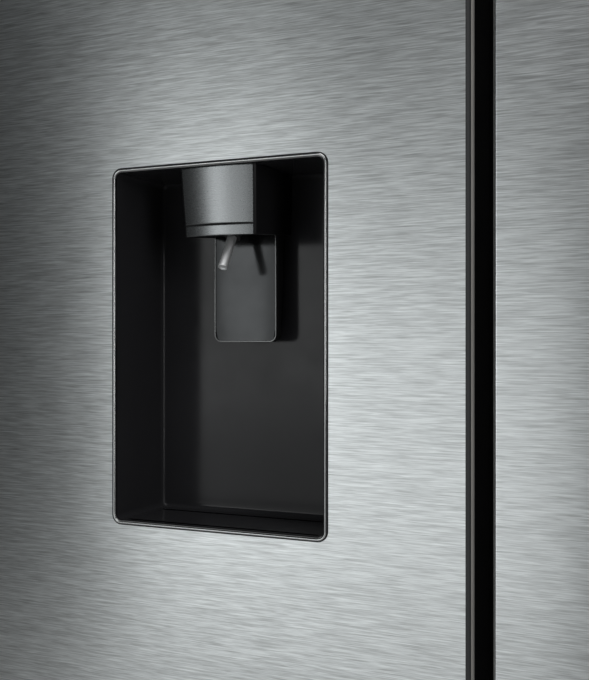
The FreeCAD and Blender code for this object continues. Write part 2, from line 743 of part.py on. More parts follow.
# ---------------------------------------------------------------- compartments
def make_shelves():
    frames, panes = [], []
    for side, x, levels, back in (
        ("freezer", FREEZER_X, FREEZER_SHELVES, "duct_front - 4"),
        ("fridge", FRIDGE_X, FRIDGE_SHELVES, f"{INNER_BACK} - liner_wall - 32"),
    ):
        width = moved(x, "liner_wall + fit_gap", "liner_wall + fit_gap")
        for i, level in enumerate(levels):
            frame = prism(
                f"{side}_frame_{i}",
                "xy",
                rectangle(width, ("shelf_front", back)),
                (level, f"{level} + shelf_thick"),
                [((0, 1, 2, 3), 8)],
            )
            window_x = moved(width, "shelf_frame", "shelf_frame")
            window_y = ("shelf_front + shelf_frame", f"{back} - shelf_frame")
            window = block(
                f"{side}_window_{i}", window_x, window_y, (f"{level} - 1", f"{level} + shelf_thick + 1")
            )
            frames.append(cut(f"{side}_shelf_{i}", frame, window))
            panes.append(
                block(
                    f"{side}_pane_{i}",
                    window_x,
                    window_y,
                    (f"{level} + shelf_thick - pane_thick - 1", f"{level} + shelf_thick - 1"),
                )
            )
    node("shelf_frames", group("frames", *frames))
    node("shelf_panes", group("panes", *panes))


def drawer(label, x, back, z):
    """An open-topped drawer with a grip notch in its front."""
    width = moved(x, "liner_wall + drawer_inset", "liner_wall + drawer_inset")
    outer = prism(
        f"{label}_outer",
        "xy",
        rectangle(width, ("drawer_front", back)),
        z,
        [((0, 1, 2, 3), "drawer_round")],
    )
    inside = prism(
        f"{label}_inner", "xy",
        rectangle(
            moved(width, "drawer_wall", "drawer_wall"),
            ("drawer_front + drawer_wall", f"{back} - drawer_wall"),
        ),
        (f"{z[0]} + drawer_wall", f"{z[1]} + 1"), [((0, 1, 2, 3), "drawer_round - drawer_wall")],
    )
    middle = f"(({width[0]}) + ({width[1]})) / 2"
    notch = prism(
        f"{label}_notch", "xz",
        rectangle(
            (f"{middle} - notch_half", f"{middle} + notch_half"), (f"{z[1]} - notch_depth", f"{z[1]} + 20")
        ),
        ("drawer_front - 1", "drawer_front + drawer_wall + 1"), [((0, 1), 10)],
    )
    flanges = []
    for i, edges in enumerate(
        (
            (f"{width[0]} - flange_width", f"{width[0]} + 1"),
            (f"{width[1]} - 1", f"{width[1]} + flange_width"),
        )
    ):
        flanges.append(
            block(
                f"{label}_flange_{i}",
                edges,
                ("drawer_front + flange_start", f"{back} - drawer_round"),
                (f"{z[1]} - flange_thick", z[1]),
            )
        )
    return node(label, cut(f"{label}_part", fuse(f"{label}_block", outer, *flanges), inside, notch))


def make_drawers():
    low = ("drawer_low", "drawer_mid")
    step_back = f"{STEP_FRONT} - liner_wall - 4"
    drawer("freezer_drawer_lower", FREEZER_X, step_back, low)
    drawer("freezer_drawer_upper", FREEZER_X, "duct_front - 8", ("drawer_up", "freezer_drawer_top"))
    drawer("crisper_lower", FRIDGE_X, step_back, low)
    drawer("crisper_upper", FRIDGE_X, f"{INNER_BACK} - liner_wall - 34", ("drawer_up", "crisper_top"))


def make_cold_air():
    """Evaporator with its cover and fan in the freezer, and the air duct in the fridge."""
    plate_y = ("duct_front", "duct_front + duct_plate")
    x = moved(FREEZER_X, "liner_wall", "liner_wall")
    middle = value(f"({FREEZER_X[0]} + {FREEZER_X[1]}) / 2")
    fan_z = 840
    plate = block("duct_plate_block", x, plate_y, (f"{STEP_TOP} + liner_wall", f"{CEILING} - liner_wall"))
    through = ("duct_front - 1", "duct_front + duct_plate + 1")
    tools = [rod("fan_mouth", 58, 6, (middle, "duct_front - 1", fan_z), "y")]
    for i, z in enumerate((600, 1060, 1290, 1520, 1640)):
        tools.append(
            slots(f"duct_{i}", (middle - 120, middle + 120), (z - 12, z + 12), through, 4, 2, (48, 6))
        )
    arms = []
    for i in range(3):
        arm = block(f"guard_arm_{i}", (0, 60), plate_y, (-2.5, 2.5))
        arm.Placement = Placement(
            Vector(middle, value("duct_front"), fan_z), Rotation(Vector(0, 1, 0), 90 + 120 * i)
        ) * Placement(Vector(0, 0, -2.5), Rotation())
        for axis in "xyz":
            arm.setExpression(f".Placement.Base.{axis}", None)
        arms.append(arm)
    boss = rod("guard_boss", 14, "duct_plate", (middle, "duct_front", fan_z), "y")
    shaft = rod("guard_shaft", 3, 30, (middle, "duct_front + duct_plate - 1", fan_z), "y")
    node("evaporator_cover", fuse("duct", cut("duct_cut", plate, *tools), *arms, boss, shaft))
    fan("evaporator_fan", "y", (middle, "duct_front + duct_plate + 3", fan_z), 54, 20)
    coil("evaporator", (middle - 130, middle + 130), (225, 277), (430, 700), 2, 8)

    centre = value(f"({FRIDGE_X[0]} + {FRIDGE_X[1]}) / 2")
    back = f"({INNER_BACK} - liner_wall)"
    duct = prism(
        "tower_outer", "xy",
        [
            (centre - 95, back),
            (centre - 80, f"{back} - 26"),
            (centre + 80, f"{back} - 26"),
            (centre + 95, back),
        ],
        (f"{STEP_TOP} + liner_wall + 16", f"{CEILING} - liner_wall - 18"), [((1, 2), 8)],
    )
    hollow = prism(
        "tower_inner", "xy",
        [
            (centre - 91, f"{back} + 1"),
            (centre - 78, f"{back} - 23.5"),
            (centre + 78, f"{back} - 23.5"),
            (centre + 91, f"{back} + 1"),
        ],
        (f"{STEP_TOP} + liner_wall + 19", f"{CEILING} - liner_wall - 21"),
    )
    vents = [
        slots(
            f"tower_{i}",
            (centre - 62, centre + 62),
            (level + 60, level + 84),
            (f"{back} - 30", f"{back} - 20"),
            2,
            2,
            (50, 6),
        )
        for i, level in enumerate(FRIDGE_SHELVES)
    ]
    node("air_duct_cover", cut("tower", duct, hollow, *vents))

    ceiling = f"({CEILING} - liner_wall)"
    case = prism(
        "panel_case",
        "xy",
        rectangle((centre - 110, centre + 110), (-190, -70)),
        (f"{ceiling} - 22", ceiling),
        [((0, 1, 2, 3), 14)],
    )
    recess = prism(
        "panel_recess",
        "xy",
        rectangle((centre - 96, centre + 96), (-178, -140)),
        (f"{ceiling} - 23", f"{ceiling} - 20.8"),
        [((0, 1, 2, 3), 6)],
    )
    node("control_panel", cut("panel", case, recess))


def make_ice():
    """Ice maker, the bucket under it and the auger that pushes ice to the door."""
    shelf = value(f"{FREEZER_SHELVES[-1]} + shelf_thick")
    middle = value(DISPENSER_X)
    left, right = value(f"{FREEZER_X[0]} + liner_wall + 12"), value(f"{FREEZER_X[1]} - liner_wall - 12")
    front, back, low, high, wall = value("shelf_front + 4"), value("duct_front - 12"), shelf, shelf + 150, 3
    outer = prism(
        "bucket_outer", "xy", rectangle((left, right), (front, back)), (low, high), [((0, 1, 2, 3), 14)]
    )
    inner = prism(
        "bucket_inner", "xy", rectangle((left + wall, right - wall), (front + wall, back - wall)),
        (low + wall, high + 1), [((0, 1, 2, 3), 11)],
    )
    nose_front = value(f"{DOOR_BACK} + 4")
    nose = block("bucket_nose", (middle - 36, middle + 36), (nose_front, front + 1), (low + 6, low + 78))
    nose_inner = block(
        "bucket_throat",
        (middle - 33, middle + 33),
        (nose_front + wall, front + wall + 1),
        (low + 2, low + 75),
    )
    axis_z, shaft = low + 42, 5
    bore = rod("bucket_bore", shaft + value("pin_gap"), 12, (middle, back - 8, axis_z), "y")
    node("ice_bucket", cut("bucket", fuse("bucket_block", outer, nose), inner, nose_inner, bore))

    length = back - 1 - (nose_front + 14)
    auger = Part.makeCylinder(shaft, length)
    turns, reach = 9, 28
    for i in range(turns):
        paddle = Part.makeBox(reach, 12, 4, Vector(0, -6, -2))
        paddle.rotate(Vector(), Vector(1, 0, 0), 35)
        paddle.rotate(Vector(), Vector(0, 0, 1), 80 * i)
        paddle.translate(Vector(0, 0, 14 + i * (length - 40) / (turns - 1)))
        auger = auger.fuse(paddle)
    item = doc.addObject("Part::Feature", "auger_part")
    item.Shape = auger.removeSplitter()
    item.Placement = Placement(Vector(middle, nose_front + 14, axis_z), TURN["y"])
    node("ice_auger", item)

    top, maker_low = value(f"{CEILING} - liner_wall"), high + 26
    body = prism(
        "maker_body",
        "xy",
        rectangle((middle - 70, middle + 70), (front + 60, back - 6)),
        (maker_low, top),
        [((0, 1, 2, 3), 8)],
    )
    mould = prism(
        "maker_mould",
        "xy",
        rectangle((middle - 58, middle + 58), (front + 128, back - 16)),
        (top - 40, top - 4),
        [((0, 1, 2, 3), 6)],
    )
    side_gap = block(
        "maker_gap", (middle - 71, middle + 71), (front + 128, back - 16), (top - 36, top - 12)
    )
    gearbox = prism(
        "maker_gearbox",
        "xy",
        rectangle((middle - 52, middle + 52), (front + 34, front + 64)),
        (maker_low + 4, top - 8),
        [((0, 1), 10)],
    )
    node("ice_maker", fuse("maker", cut("maker_cut", body, mould, side_gap), gearbox))


# ---------------------------------------------------------------- doors
def make_pod(name, core, panel_x, panel_y, levels):
    """The swelling behind the dispenser: foam with its passages, and the liner round it."""
    pod_x, pod_y = across("pod_half"), (panel_y[0], depth("pod_depth"))
    pod_z = (level("-pod_bottom"), level("pod_top"))
    pod_foam = block(
        "pod_foam",
        moved(pod_x, "liner_wall", "liner_wall"),
        (pod_y[0], f"{pod_y[1]} - liner_wall"),
        moved(pod_z, "liner_wall", "liner_wall"),
    )
    parts = [
        cut(f"{n}_passages", base, recess_outer(f"{n}_recess"), chute_outer(f"{n}_chute"))
        for n, base in (("slab", core), ("pod", pod_foam))
    ]
    node(f"{name}_foam", group(f"{name}_foam_set", *parts))
    hollow = block(
        "pod_hollow",
        moved(pod_x, "liner_wall", "liner_wall"),
        (f"{pod_y[0]} - 1", f"{pod_y[1]} - liner_wall"),
        moved(pod_z, "liner_wall", "liner_wall"),
    )
    shell = cut(
        "pod_shell", block("pod_block", pod_x, pod_y, pod_z), hollow, chute_outer("pod_shell_chute")
    )
    left, right = ordered(panel_x)
    return [
        shell,
        block(f"{name}_panel_low", panel_x, panel_y, (levels[0], pod_z[0])),
        block(f"{name}_panel_high", panel_x, panel_y, (pod_z[1], levels[1])),
        block(f"{name}_panel_left", (left, pod_x[0]), panel_y, pod_z),
        block(f"{name}_panel_right", (pod_x[1], right), panel_y, pod_z),
    ]


def make_door(side, outer, latch, inward, bins, reach):
    """One door; outer and latch are its edges in X, inward is "+" where the latch lies towards +X."""
    out = "-" if inward == "+" else "+"

    def from_outer(distance):
        return f"({outer} {inward} ({distance}))"

    def from_latch(distance):
        return f"({latch} {out} ({distance}))"

    name = f"{side}_door"
    inside, inner_latch = from_outer("sheet"), from_latch("sheet")
    back = f"({DOOR_BACK} - return_back)"
    outline = [
        (outer, back),
        (outer, DOOR_FRONT),
        (latch, DOOR_FRONT),
        (latch, f"{DOOR_FRONT} + flange_depth"),
        (inner_latch, f"{DOOR_FRONT} + flange_depth"),
        (inner_latch, f"{DOOR_FRONT} + sheet"),
        (inside, f"{DOOR_FRONT} + sheet"),
        (inside, back),
    ]
    rounds = [
        ((1,), "door_round"),
        ((2,), "edge_round"),
        ((5,), "edge_round - sheet"),
        ((6,), "door_round - sheet"),
    ]
    skin = prism(f"{name}_sheet", "xy", outline, ("door_bottom", "door_top"), rounds)

    core_latch = from_latch("grip_depth + grip_wall + trim_clear")
    levels = ("door_bottom + cap_height", "door_top - cap_height")
    front, liner_front = f"({DOOR_FRONT} + sheet)", f"({DOOR_BACK} - liner_wall)"
    outer_corner = 0 if inward == "+" else 1
    core = prism(
        f"{name}_core",
        "xy",
        rectangle((inside, core_latch), (front, liner_front)),
        levels,
        [((outer_corner,), "door_round - sheet")],
    )

    # raised border of the inner face, in four bars
    wall_outer = from_outer("side_wall + liner_wall + dyke_clear")
    wall_latch = from_latch("(mullion_width - door_gap) / 2 + liner_wall + dyke_clear")
    dyke_z = ("floor_level + liner_wall + dyke_clear", f"{CEILING} - liner_wall - dyke_clear")
    thick = "dyke_thick"
    x, y = ordered((wall_outer, wall_latch)), (DOOR_BACK, f"({DOOR_BACK} + dyke_depth)")
    bars = [
        block(f"{name}_bar_left", (x[0], f"{x[0]} + {thick}"), y, dyke_z),
        block(f"{name}_bar_right", (f"{x[1]} - {thick}", x[1]), y, dyke_z),
        block(f"{name}_bar_low", moved(x, thick, thick), y, (dyke_z[0], f"{dyke_z[0]} + {thick}")),
        block(f"{name}_bar_high", moved(x, thick, thick), y, (f"{dyke_z[1]} - {thick}", dyke_z[1])),
    ]
    panel_x, panel_y = (from_outer("sheet"), latch), (liner_front, DOOR_BACK)
    if side == "freezer":
        through = (f"{DOOR_FRONT} - 1", f"{DOOR_FRONT} + 2")
        window = dispenser_outline("skin_window", "bezel_rim - 1.5", through)
        node(f"{name}_skin", cut(f"{name}_skin_part", skin, window))
        panels = make_pod(name, core, panel_x, panel_y, levels)
    else:
        node(f"{name}_skin", skin)
        node(f"{name}_foam", core)
        panels = [block(f"{name}_panel", panel_x, panel_y, levels)]
    node(f"{name}_liner", group(f"{name}_liner_set", *panels, *bars))

    hinge_x = from_outer("hinge_side")
    caps = []
    for end, z in (
        ("low", ("door_bottom", "door_bottom + cap_height")),
        ("high", ("door_top - cap_height", "door_top")),
    ):
        z = (f"{z[0]} + {0.5 if end == 'low' else 0}", f"{z[1]} - {0.5 if end == 'high' else 0}")
        cap_outline = [
            (inside, front),
            (inner_latch, front),
            (inner_latch, f"{DOOR_FRONT} + flange_depth + 0.5"),
            (latch, f"{DOOR_FRONT} + flange_depth + 0.5"),
            (latch, DOOR_BACK),
            (inside, DOOR_BACK),
        ]
        cap = prism(
            f"{name}_cap_{end}",
            "xy",
            cap_outline,
            z,
            [((0,), "door_round - sheet"), ((1,), "edge_round - sheet"), ((4,), 3)],
        )
        caps.append(
            cut(
                f"{name}_capped_{end}",
                cap,
                rod(f"{name}_bore_{end}", "pin_radius + pin_gap", 30, (hinge_x, HINGE_Y, f"{z[0]} - 5")),
            )
        )
    node(f"{name}_caps", group(f"{name}_cap_pair", *caps))

    seal_x = ordered((from_outer("gasket_inset"), from_latch("gasket_latch_inset")))
    seal_z = ("door_bottom + gasket_end_inset", "door_top - gasket_end_inset")
    seal_y = (DOOR_BACK, f"{DOOR_BACK} + gasket_depth")
    node(
        f"{name}_gasket",
        cut(
            f"{name}_seal",
            prism(
                f"{name}_seal_out",
                "xz",
                rectangle(seal_x, seal_z),
                seal_y,
                [((0, 1, 2, 3), "gasket_round")],
            ),
            block(
                f"{name}_seal_in",
                moved(seal_x, "gasket_width", "gasket_width"),
                (f"{DOOR_BACK} - 1", f"{seal_y[1]} + 1"),
                moved(seal_z, "gasket_width", "gasket_width"),
            ),
        ),
    )

    def at(inset, behind):
        return from_latch(inset), f"{DOOR_FRONT} + {behind}"

    skin_inside, wall_inside = "sheet + trim_clear", "grip_depth + grip_wall"
    profile = [
        at(0, "flange_depth + trim_clear"),
        at(skin_inside, "flange_depth + trim_clear"),
        at(skin_inside, skin_inside),
        at(wall_inside, skin_inside),
        at(wall_inside, "door_thick - liner_wall"),
        at(0, "door_thick - liner_wall"),
        at(0, "grip_end + grip_slope"),
        at("grip_depth", "grip_end"),
        at("grip_depth", "grip_start"),
        at(0, "grip_start - grip_slope"),
    ]
    rounds = [((2,), "edge_round - sheet - trim_clear"), ((7, 8), 6), ((6, 9), 2)]
    node(f"{name}_trim", prism(f"{name}_edge", "xy", profile, levels, rounds))

    bin_x = moved(x, thick, thick)
    trays = []
    for i, level in enumerate(bins):
        y = (DOOR_BACK, f"{DOOR_BACK} + {reach}")
        z = (level, f"{level} + bin_height")
        tray = prism(f"{name}_tray_{i}", "xy", rectangle(bin_x, y), z, [((2, 3), "bin_round")])
        hollow = prism(
            f"{name}_hollow_{i}",
            "xy",
            rectangle(moved(bin_x, "bin_wall", "bin_wall"), moved(y, "bin_wall", "bin_wall")),
            (f"{level} + bin_wall", f"{z[1]} + 1"),
            [((2, 3), "bin_round - bin_wall")],
        )
        dip = block(
            f"{name}_dip_{i}",
            moved(bin_x, 30, 30),
            (f"{y[1]} - bin_wall - 1", f"{y[1]} + 1"),
            (f"{z[1]} - 28", f"{z[1]} + 1"),
        )
        low_front = block(
            f"{name}_low_{i}",
            moved(bin_x, "bin_wall", "bin_wall"),
            (f"{y[0]} - 1", f"{y[0]} + bin_wall + 1"),
            (f"{level} + 40", f"{z[1]} + 1"),
        )
        trays.append(cut(f"{name}_bin_{i}", tray, hollow, dip, low_front))
    node(f"{name}_bins", group(f"{name}_bin_set", *trays))


# ---------------------------------------------------------------- dispenser
def depth(distance):
    """A place that far behind the door's front face."""
    return f"({DOOR_FRONT} + ({distance}))"


def level(height):
    """A height above the middle of the dispenser."""
    return f"(dispenser_level + ({height}))"


def across(half):
    """The span of that half width about the middle of the dispenser."""
    return f"({DISPENSER_X} - ({half}))", f"({DISPENSER_X} + ({half}))"


def dispenser_outline(name, inset, y):
    """The bezel's rounded rectangle, drawn in by inset."""
    half_w, half_h = f"bezel_width / 2 - ({inset})", f"bezel_height / 2 - ({inset})"
    corners = rectangle(across(half_w), (level(f"-({half_h})"), level(half_h)))
    return prism(name, "xz", corners, y, [((0, 1, 2, 3), f"bezel_round - ({inset})")])


def recess_outer(name):
    wall = "bezel_width / 2 - bezel_rim + recess_wall"
    high = "bezel_height / 2 - bezel_rim + recess_wall"
    return block(
        name,
        across(wall),
        (depth("sheet"), depth("recess_depth + recess_wall")),
        (level(f"-({high} + well_depth)"), level(high)),
    )


def chute_profile(inset):
    top, foot = level(f"pod_top + {1 if value(inset) else 0}"), level(
        "bezel_height / 2 - bezel_rim + recess_wall"
    )
    low, high = f"chute_front + {inset}", f"chute_front + chute_size - {inset}"
    return [
        (depth(low), foot),
        (depth(high), foot),
        (depth(f"{high} + chute_lean"), top),
        (depth(f"{low} + chute_lean"), top),
    ]


def chute_outer(name):
    return prism(name, "yz", chute_profile(0), across("chute_half"))


def make_dispenser():
    ring = dispenser_outline("bezel_outer", 0, (f"{DOOR_FRONT} - bezel_proud", DOOR_FRONT))
    tip = ring.Tip
    front = tip.Shape.BoundBox.YMin
    edges = edges_where(tip.Shape, lambda e: all(abs(v.Point.y - front) < 1e-4 for v in e.Vertexes))
    ring.Tip = rounded(ring, tip, edges, "bezel_edge")
    node(
        "dispenser_bezel",
        cut(
            "bezel",
            ring,
            dispenser_outline("bezel_hole", "bezel_rim", (f"{DOOR_FRONT} - 4", f"{DOOR_FRONT} + 1")),
        ),
    )

    void = dispenser_outline("recess_void", "bezel_rim", (f"{DOOR_FRONT} - 1", depth("recess_depth")))
    tip = void.Tip
    rear = tip.Shape.BoundBox.YMax
    edges = edges_where(tip.Shape, lambda e: all(abs(v.Point.y - rear) < 1e-4 for v in e.Vertexes))
    void.Tip = rounded(void, tip, edges, "recess_round - 1.5")
    floor = "-(bezel_height / 2 - bezel_rim)"
    tray_half = "bezel_width / 2 - bezel_rim - well_margin"
    well = block(
        "tray_well",
        across(tray_half),
        (depth("well_front"), depth("well_back")),
        (level(f"{floor} - well_depth"), level(f"{floor} + 1")),
    )
    duct = block(
        "duct_hole",
        across("chute_half - chute_wall"),
        (depth("chute_front + 4"), depth("chute_front + chute_size - 4")),
        (
            level("bezel_height / 2 - bezel_rim - 1"),
            level("bezel_height / 2 - bezel_rim + recess_wall + 1"),
        ),
    )
    node("dispenser_recess", cut("recess", recess_outer("recess_block"), void, well, duct))

    gap = "fit_gap"
    tray_x = across(f"{tray_half} - {gap}")
    tray_y = (depth(f"well_front + {gap}"), depth(f"well_back - {gap}"))
    tray_z = (level(f"{floor} - well_depth + {gap}"), level(f"{floor} - 2.5"))
    pan = prism("tray_outer", "xy", rectangle(tray_x, tray_y), tray_z, [((0, 1, 2, 3), 3)])
    bowl = prism(
        "tray_inner",
        "xy",
        rectangle(moved(tray_x, 1.8, 1.8), moved(tray_y, 1.8, 1.8)),
        (f"{tray_z[0]} + 1.8", f"{tray_z[1]} + 1"),
        [((0, 1, 2, 3), 2)],
    )
    node("drip_tray", cut("tray", pan, bowl))
    plate = prism(
        "grille_plate", "xy", rectangle(tray_x, tray_y), (tray_z[1], level(floor)), [((0, 1, 2, 3), 3)]
    )
    bars = []
    count, pitch = 7, 7
    for i in range(count):
        y = f"well_front + {6.5 + i * pitch}"
        bars.append(
            block(
                f"grille_slot_{i}",
                moved(tray_x, 8, 8),
                (depth(y), depth(f"{y} + 3.4")),
                (f"{tray_z[1]} - 1", level(f"{floor} + 1")),
            )
        )
    node("drip_grille", cut("grille", plate, group("grille_slots", *bars)))

    def trapezium(name, inset, z, y):
        """Tapered block: its half width falls from the ceiling to the mouth of the spout."""
        top, low, mouth = "bezel_height / 2 - bezel_rim", "spout_bottom", value(
            "(spout_top_half - spout_bottom_half)"
        )

        def half(at):
            share = f"(({at}) - ({low})) / (({top}) - ({low}))"
            return f"spout_bottom_half + {mouth} * {share} - ({inset})"

        corners = [
            (across(half(z[0]))[0], level(z[0])), (across(half(z[0]))[1], level(z[0])),
            (across(half(z[1]))[1], level(z[1])), (across(half(z[1]))[0], level(z[1])),
        ]
        return prism(name, "xz", corners, y)

    ceiling = "bezel_height / 2 - bezel_rim"
    body = trapezium(
        "spout_outer",
        0,
        ("spout_bottom - 2", ceiling),
        (depth("spout_front"), depth("recess_depth - 0.01")),
    )
    hollow = trapezium(
        "spout_inner",
        "spout_wall",
        ("spout_bottom - 3", f"{ceiling} + 1"),
        (depth("spout_front + spout_lean + spout_wall"), depth("recess_depth - spout_wall")),
    )
    lean = prism(
        "spout_slope",
        "yz",
        [
            (depth("spout_front - 2"), level("spout_bottom - 12")),
            (depth("spout_front + spout_lean"), level("spout_bottom - 12")),
            (depth("spout_front + spout_lean"), level("spout_bottom")),
            (depth("spout_front"), level(ceiling)),
            (depth("spout_front - 2"), level(ceiling)),
        ],
        across(40),
    )
    under = prism(
        "spout_under", "yz",
        [
            (depth(0), level("spout_bottom - 10")),
            (depth("recess_depth + 4"), level("spout_bottom - 10")),
            (depth("recess_depth + 4"), level("spout_bottom + spout_rise")),
            (depth("spout_front"), level("spout_bottom")),
            (depth(0), level("spout_bottom")),
        ],
        across(40),
    )
    rear_corner = block(
        "spout_corner",
        across(40),
        (depth("recess_depth - recess_round"), depth("recess_depth + 1")),
        (level(f"{ceiling} - recess_round"), level(f"{ceiling} + 1")),
    )
    tube = nozzle_rod("boss_tube", "nozzle_radius")
    boss = cut(
        "nozzle_boss",
        block(
            "boss_block",
            across("boss_half"),
            (depth("spout_front + spout_lean + 1"), depth("boss_back")),
            (level("boss_low"), level("boss_high")),
        ),
        tube,
    )
    pins = [
        rod(
            "paddle_bore",
            "paddle_pin + small_pin_gap",
            80,
            (f"{DISPENSER_X} - 40", depth("paddle_axis_y"), level("paddle_axis_z")),
            "x",
        ),
        rod(
            "flap_bore",
            "flap_pin + small_pin_gap",
            80,
            (f"{DISPENSER_X} - 40", depth("flap_axis_y"), level("flap_axis_z")),
            "x",
        ),
    ]
    shell = cut("spout_shell", body, hollow, lean, under, rear_corner, *pins)
    node("spout_housing", fuse("spout", shell, boss))

    bow = doc.addObject("Part::Cylinder", "face_bow")
    bind(bow, "Radius", "face_radius")
    bind(bow, "Height", 80)
    tilt = math.degrees(math.atan2(value("spout_lean"), value(f"{ceiling} - spout_bottom")))
    place(
        bow,
        DISPENSER_X,
        depth("face_radius - face_proud + spout_lean"),
        level("spout_bottom"),
        rotation=Rotation(Vector(1, 0, 0), tilt),
    )
    zone = prism(
        "face_zone",
        "yz",
        [
            (depth("-face_proud - 1"), level("spout_bottom")),
            (depth("spout_front + spout_lean"), level("spout_bottom")),
            (depth("spout_front"), level(ceiling)),
            (depth("-face_proud - 1"), level(ceiling)),
        ],
        across(40),
    )
    curved = common("face_curve", zone, bow)
    for label, z in (
        ("spout_face", ("spout_bottom + band_height + band_gap", f"{ceiling} - 0.3")),
        ("spout_band", ("spout_bottom", "spout_bottom + band_height")),
    ):
        slab = trapezium(
            f"{label}_slab", "face_margin", z, (depth("-face_proud - 1"), depth("spout_front + spout_lean"))
        )
        node(label, common(f"{label}_part", slab, curved))

    node(
        "water_nozzle",
        cut(
            "nozzle",
            nozzle_rod("nozzle_outer", "nozzle_radius"),
            nozzle_rod("nozzle_inner", "nozzle_bore"),
        ),
    )

    leaf = common(
        "paddle_leaf",
        prism(
            "paddle_wedge", "yz",
            [
                (depth("paddle_front"), level("paddle_low")),
                (depth("paddle_low_back"), level("paddle_low")),
                (depth("paddle_top_back"), level("paddle_high")),
                (depth("paddle_front"), level("paddle_high")),
            ],
            across("paddle_half"),
        ),
        prism(
            "paddle_plan",
            "xz",
            rectangle(across("paddle_half"), (level("paddle_low"), level("paddle_high"))),
            (depth("paddle_front - 1"), depth("paddle_top_back + 1")),
            [((0, 1), "paddle_round")],
        ),
    )
    neck = prism(
        "paddle_neck", "yz",
        [
            (depth("neck_front"), level("paddle_high - 2")),
            (depth("paddle_top_back - 0.5"), level("paddle_high - 2")),
            (depth("paddle_top_back - 0.5"), level("neck_top")),
            (depth("neck_front"), level("neck_top")),
        ],
        across("neck_half"), [((2, 3), 4)],
    )
    reach = "spout_bottom_half"
    pin = rod(
        "paddle_pins",
        "paddle_pin",
        f"2 * ({reach})",
        (f"{DISPENSER_X} - ({reach})", depth("paddle_axis_y"), level("paddle_axis_z")),
        "x",
    )
    node("paddle", fuse("lever", leaf, neck, pin))

    door = block(
        "flap_leaf",
        across("flap_half"),
        (depth("flap_front"), depth("flap_axis_y")),
        (level("flap_low"), level("flap_high")),
    )
    pin = rod(
        "flap_pins",
        "flap_pin",
        f"2 * ({reach} + 0.5)",
        (f"{DISPENSER_X} - ({reach} + 0.5)", depth("flap_axis_y"), level("flap_axis_z")),
        "x",
    )
    node("chute_flap", fuse("flap", door, pin))

    node(
        "ice_chute",
        cut(
            "chute",
            chute_outer("chute_block"),
            prism("chute_hollow", "yz", chute_profile("chute_wall"), across("chute_half - chute_wall")),
        ),
    )


def nozzle_rod(name, radius):
    """A rod along the nozzle, from its tip up and back into the spout."""
    item = doc.addObject("Part::Cylinder", name)
    bind(item, "Radius", radius)
    bind(item, "Height", "nozzle_length")
    tilt = Rotation(Vector(1, 0, 0), -value("nozzle_tilt"))
    return place(item, DISPENSER_X, depth("nozzle_tip_y"), level("nozzle_tip_z"), rotation=tilt)


# ---------------------------------------------------------------- build, check, write
make_case()
make_back_panel()
make_base()
make_toe_grille()
make_machine_room()
make_hinges()
make_top_cover()
make_shelves()
make_drawers()
make_cold_air()
make_ice()
make_door("freezer", f"(-{HALF})", f"({MULLION} - door_gap / 2)", "+", FREEZER_BINS, "freezer_bin_reach")
make_door("fridge", f"({HALF})", f"({MULLION} + door_gap / 2)", "-", FRIDGE_BINS, "fridge_bin_reach")
make_dispenser()
doc.recompute()

problems = [f"{o.Name}: {o.State}" for o in doc.Objects if {"Invalid", "Error"} & set(o.State)]
for item in nodes:
    if item.Shape.isNull() or not item.Shape.isValid() or not item.Shape.Solids:
        problems.append(f"{item.Label}: no valid solid")
if problems:
    raise SystemExit("\n".join(problems))

os.makedirs("parts", exist_ok=True)
for item in nodes:
    item.Shape.exportStep(f"parts/{item.Label}.step")
print(f"{len(nodes)} sub-parts written")
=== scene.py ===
import math

import bmesh
import bpy
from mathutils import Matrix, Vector


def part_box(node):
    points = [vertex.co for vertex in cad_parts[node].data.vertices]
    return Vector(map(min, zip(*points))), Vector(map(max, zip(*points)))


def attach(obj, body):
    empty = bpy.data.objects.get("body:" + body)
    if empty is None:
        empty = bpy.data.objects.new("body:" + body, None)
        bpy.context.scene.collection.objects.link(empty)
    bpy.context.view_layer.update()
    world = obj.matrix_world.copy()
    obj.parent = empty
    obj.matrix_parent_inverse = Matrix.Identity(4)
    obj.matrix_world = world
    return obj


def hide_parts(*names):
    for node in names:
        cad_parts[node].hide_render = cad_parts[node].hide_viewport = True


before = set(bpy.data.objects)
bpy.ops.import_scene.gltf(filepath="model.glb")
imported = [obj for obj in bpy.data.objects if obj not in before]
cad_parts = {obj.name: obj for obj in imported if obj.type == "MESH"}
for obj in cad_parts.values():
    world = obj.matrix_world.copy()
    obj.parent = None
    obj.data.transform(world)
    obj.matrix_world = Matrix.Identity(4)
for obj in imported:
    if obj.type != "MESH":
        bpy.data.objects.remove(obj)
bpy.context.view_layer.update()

MM = 0.001


# ---------------------------------------------------------------- places taken from the frame
def span(node):
    """Lowest and highest corner of a CAD node, as vectors."""
    low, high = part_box(node)
    return Vector(low), Vector(high)


def middle(node):
    low, high = span(node)
    return (low + high) / 2


bezel_low, bezel_high = span("dispenser_bezel")
CENTRE = (bezel_low + bezel_high) / 2
FACE_Y = span("freezer_door_skin")[0].y
HALF_W = (bezel_high.x - bezel_low.x) / 2
HALF_H = (bezel_high.z - bezel_low.z) / 2


def at(x, depth, z):
    """A point given in millimetres from the dispenser's middle, depth counted back from the door's face."""
    return Vector((CENTRE.x + x * MM, FACE_Y + depth * MM, CENTRE.z + z * MM))


# The camera stands 652 mm in front of the doors, to the right of the dispenser and level with its middle.
CAMERA = Vector((CENTRE.x + 0.3599, FACE_Y - 0.652, CENTRE.z + 0.00495))
CAMERA_TURN = math.radians(24.35)
LENS, SENSOR = 52.941176, 36.0


# ---------------------------------------------------------------- materials
NOISE_RANGE = (0.25, 0.75)


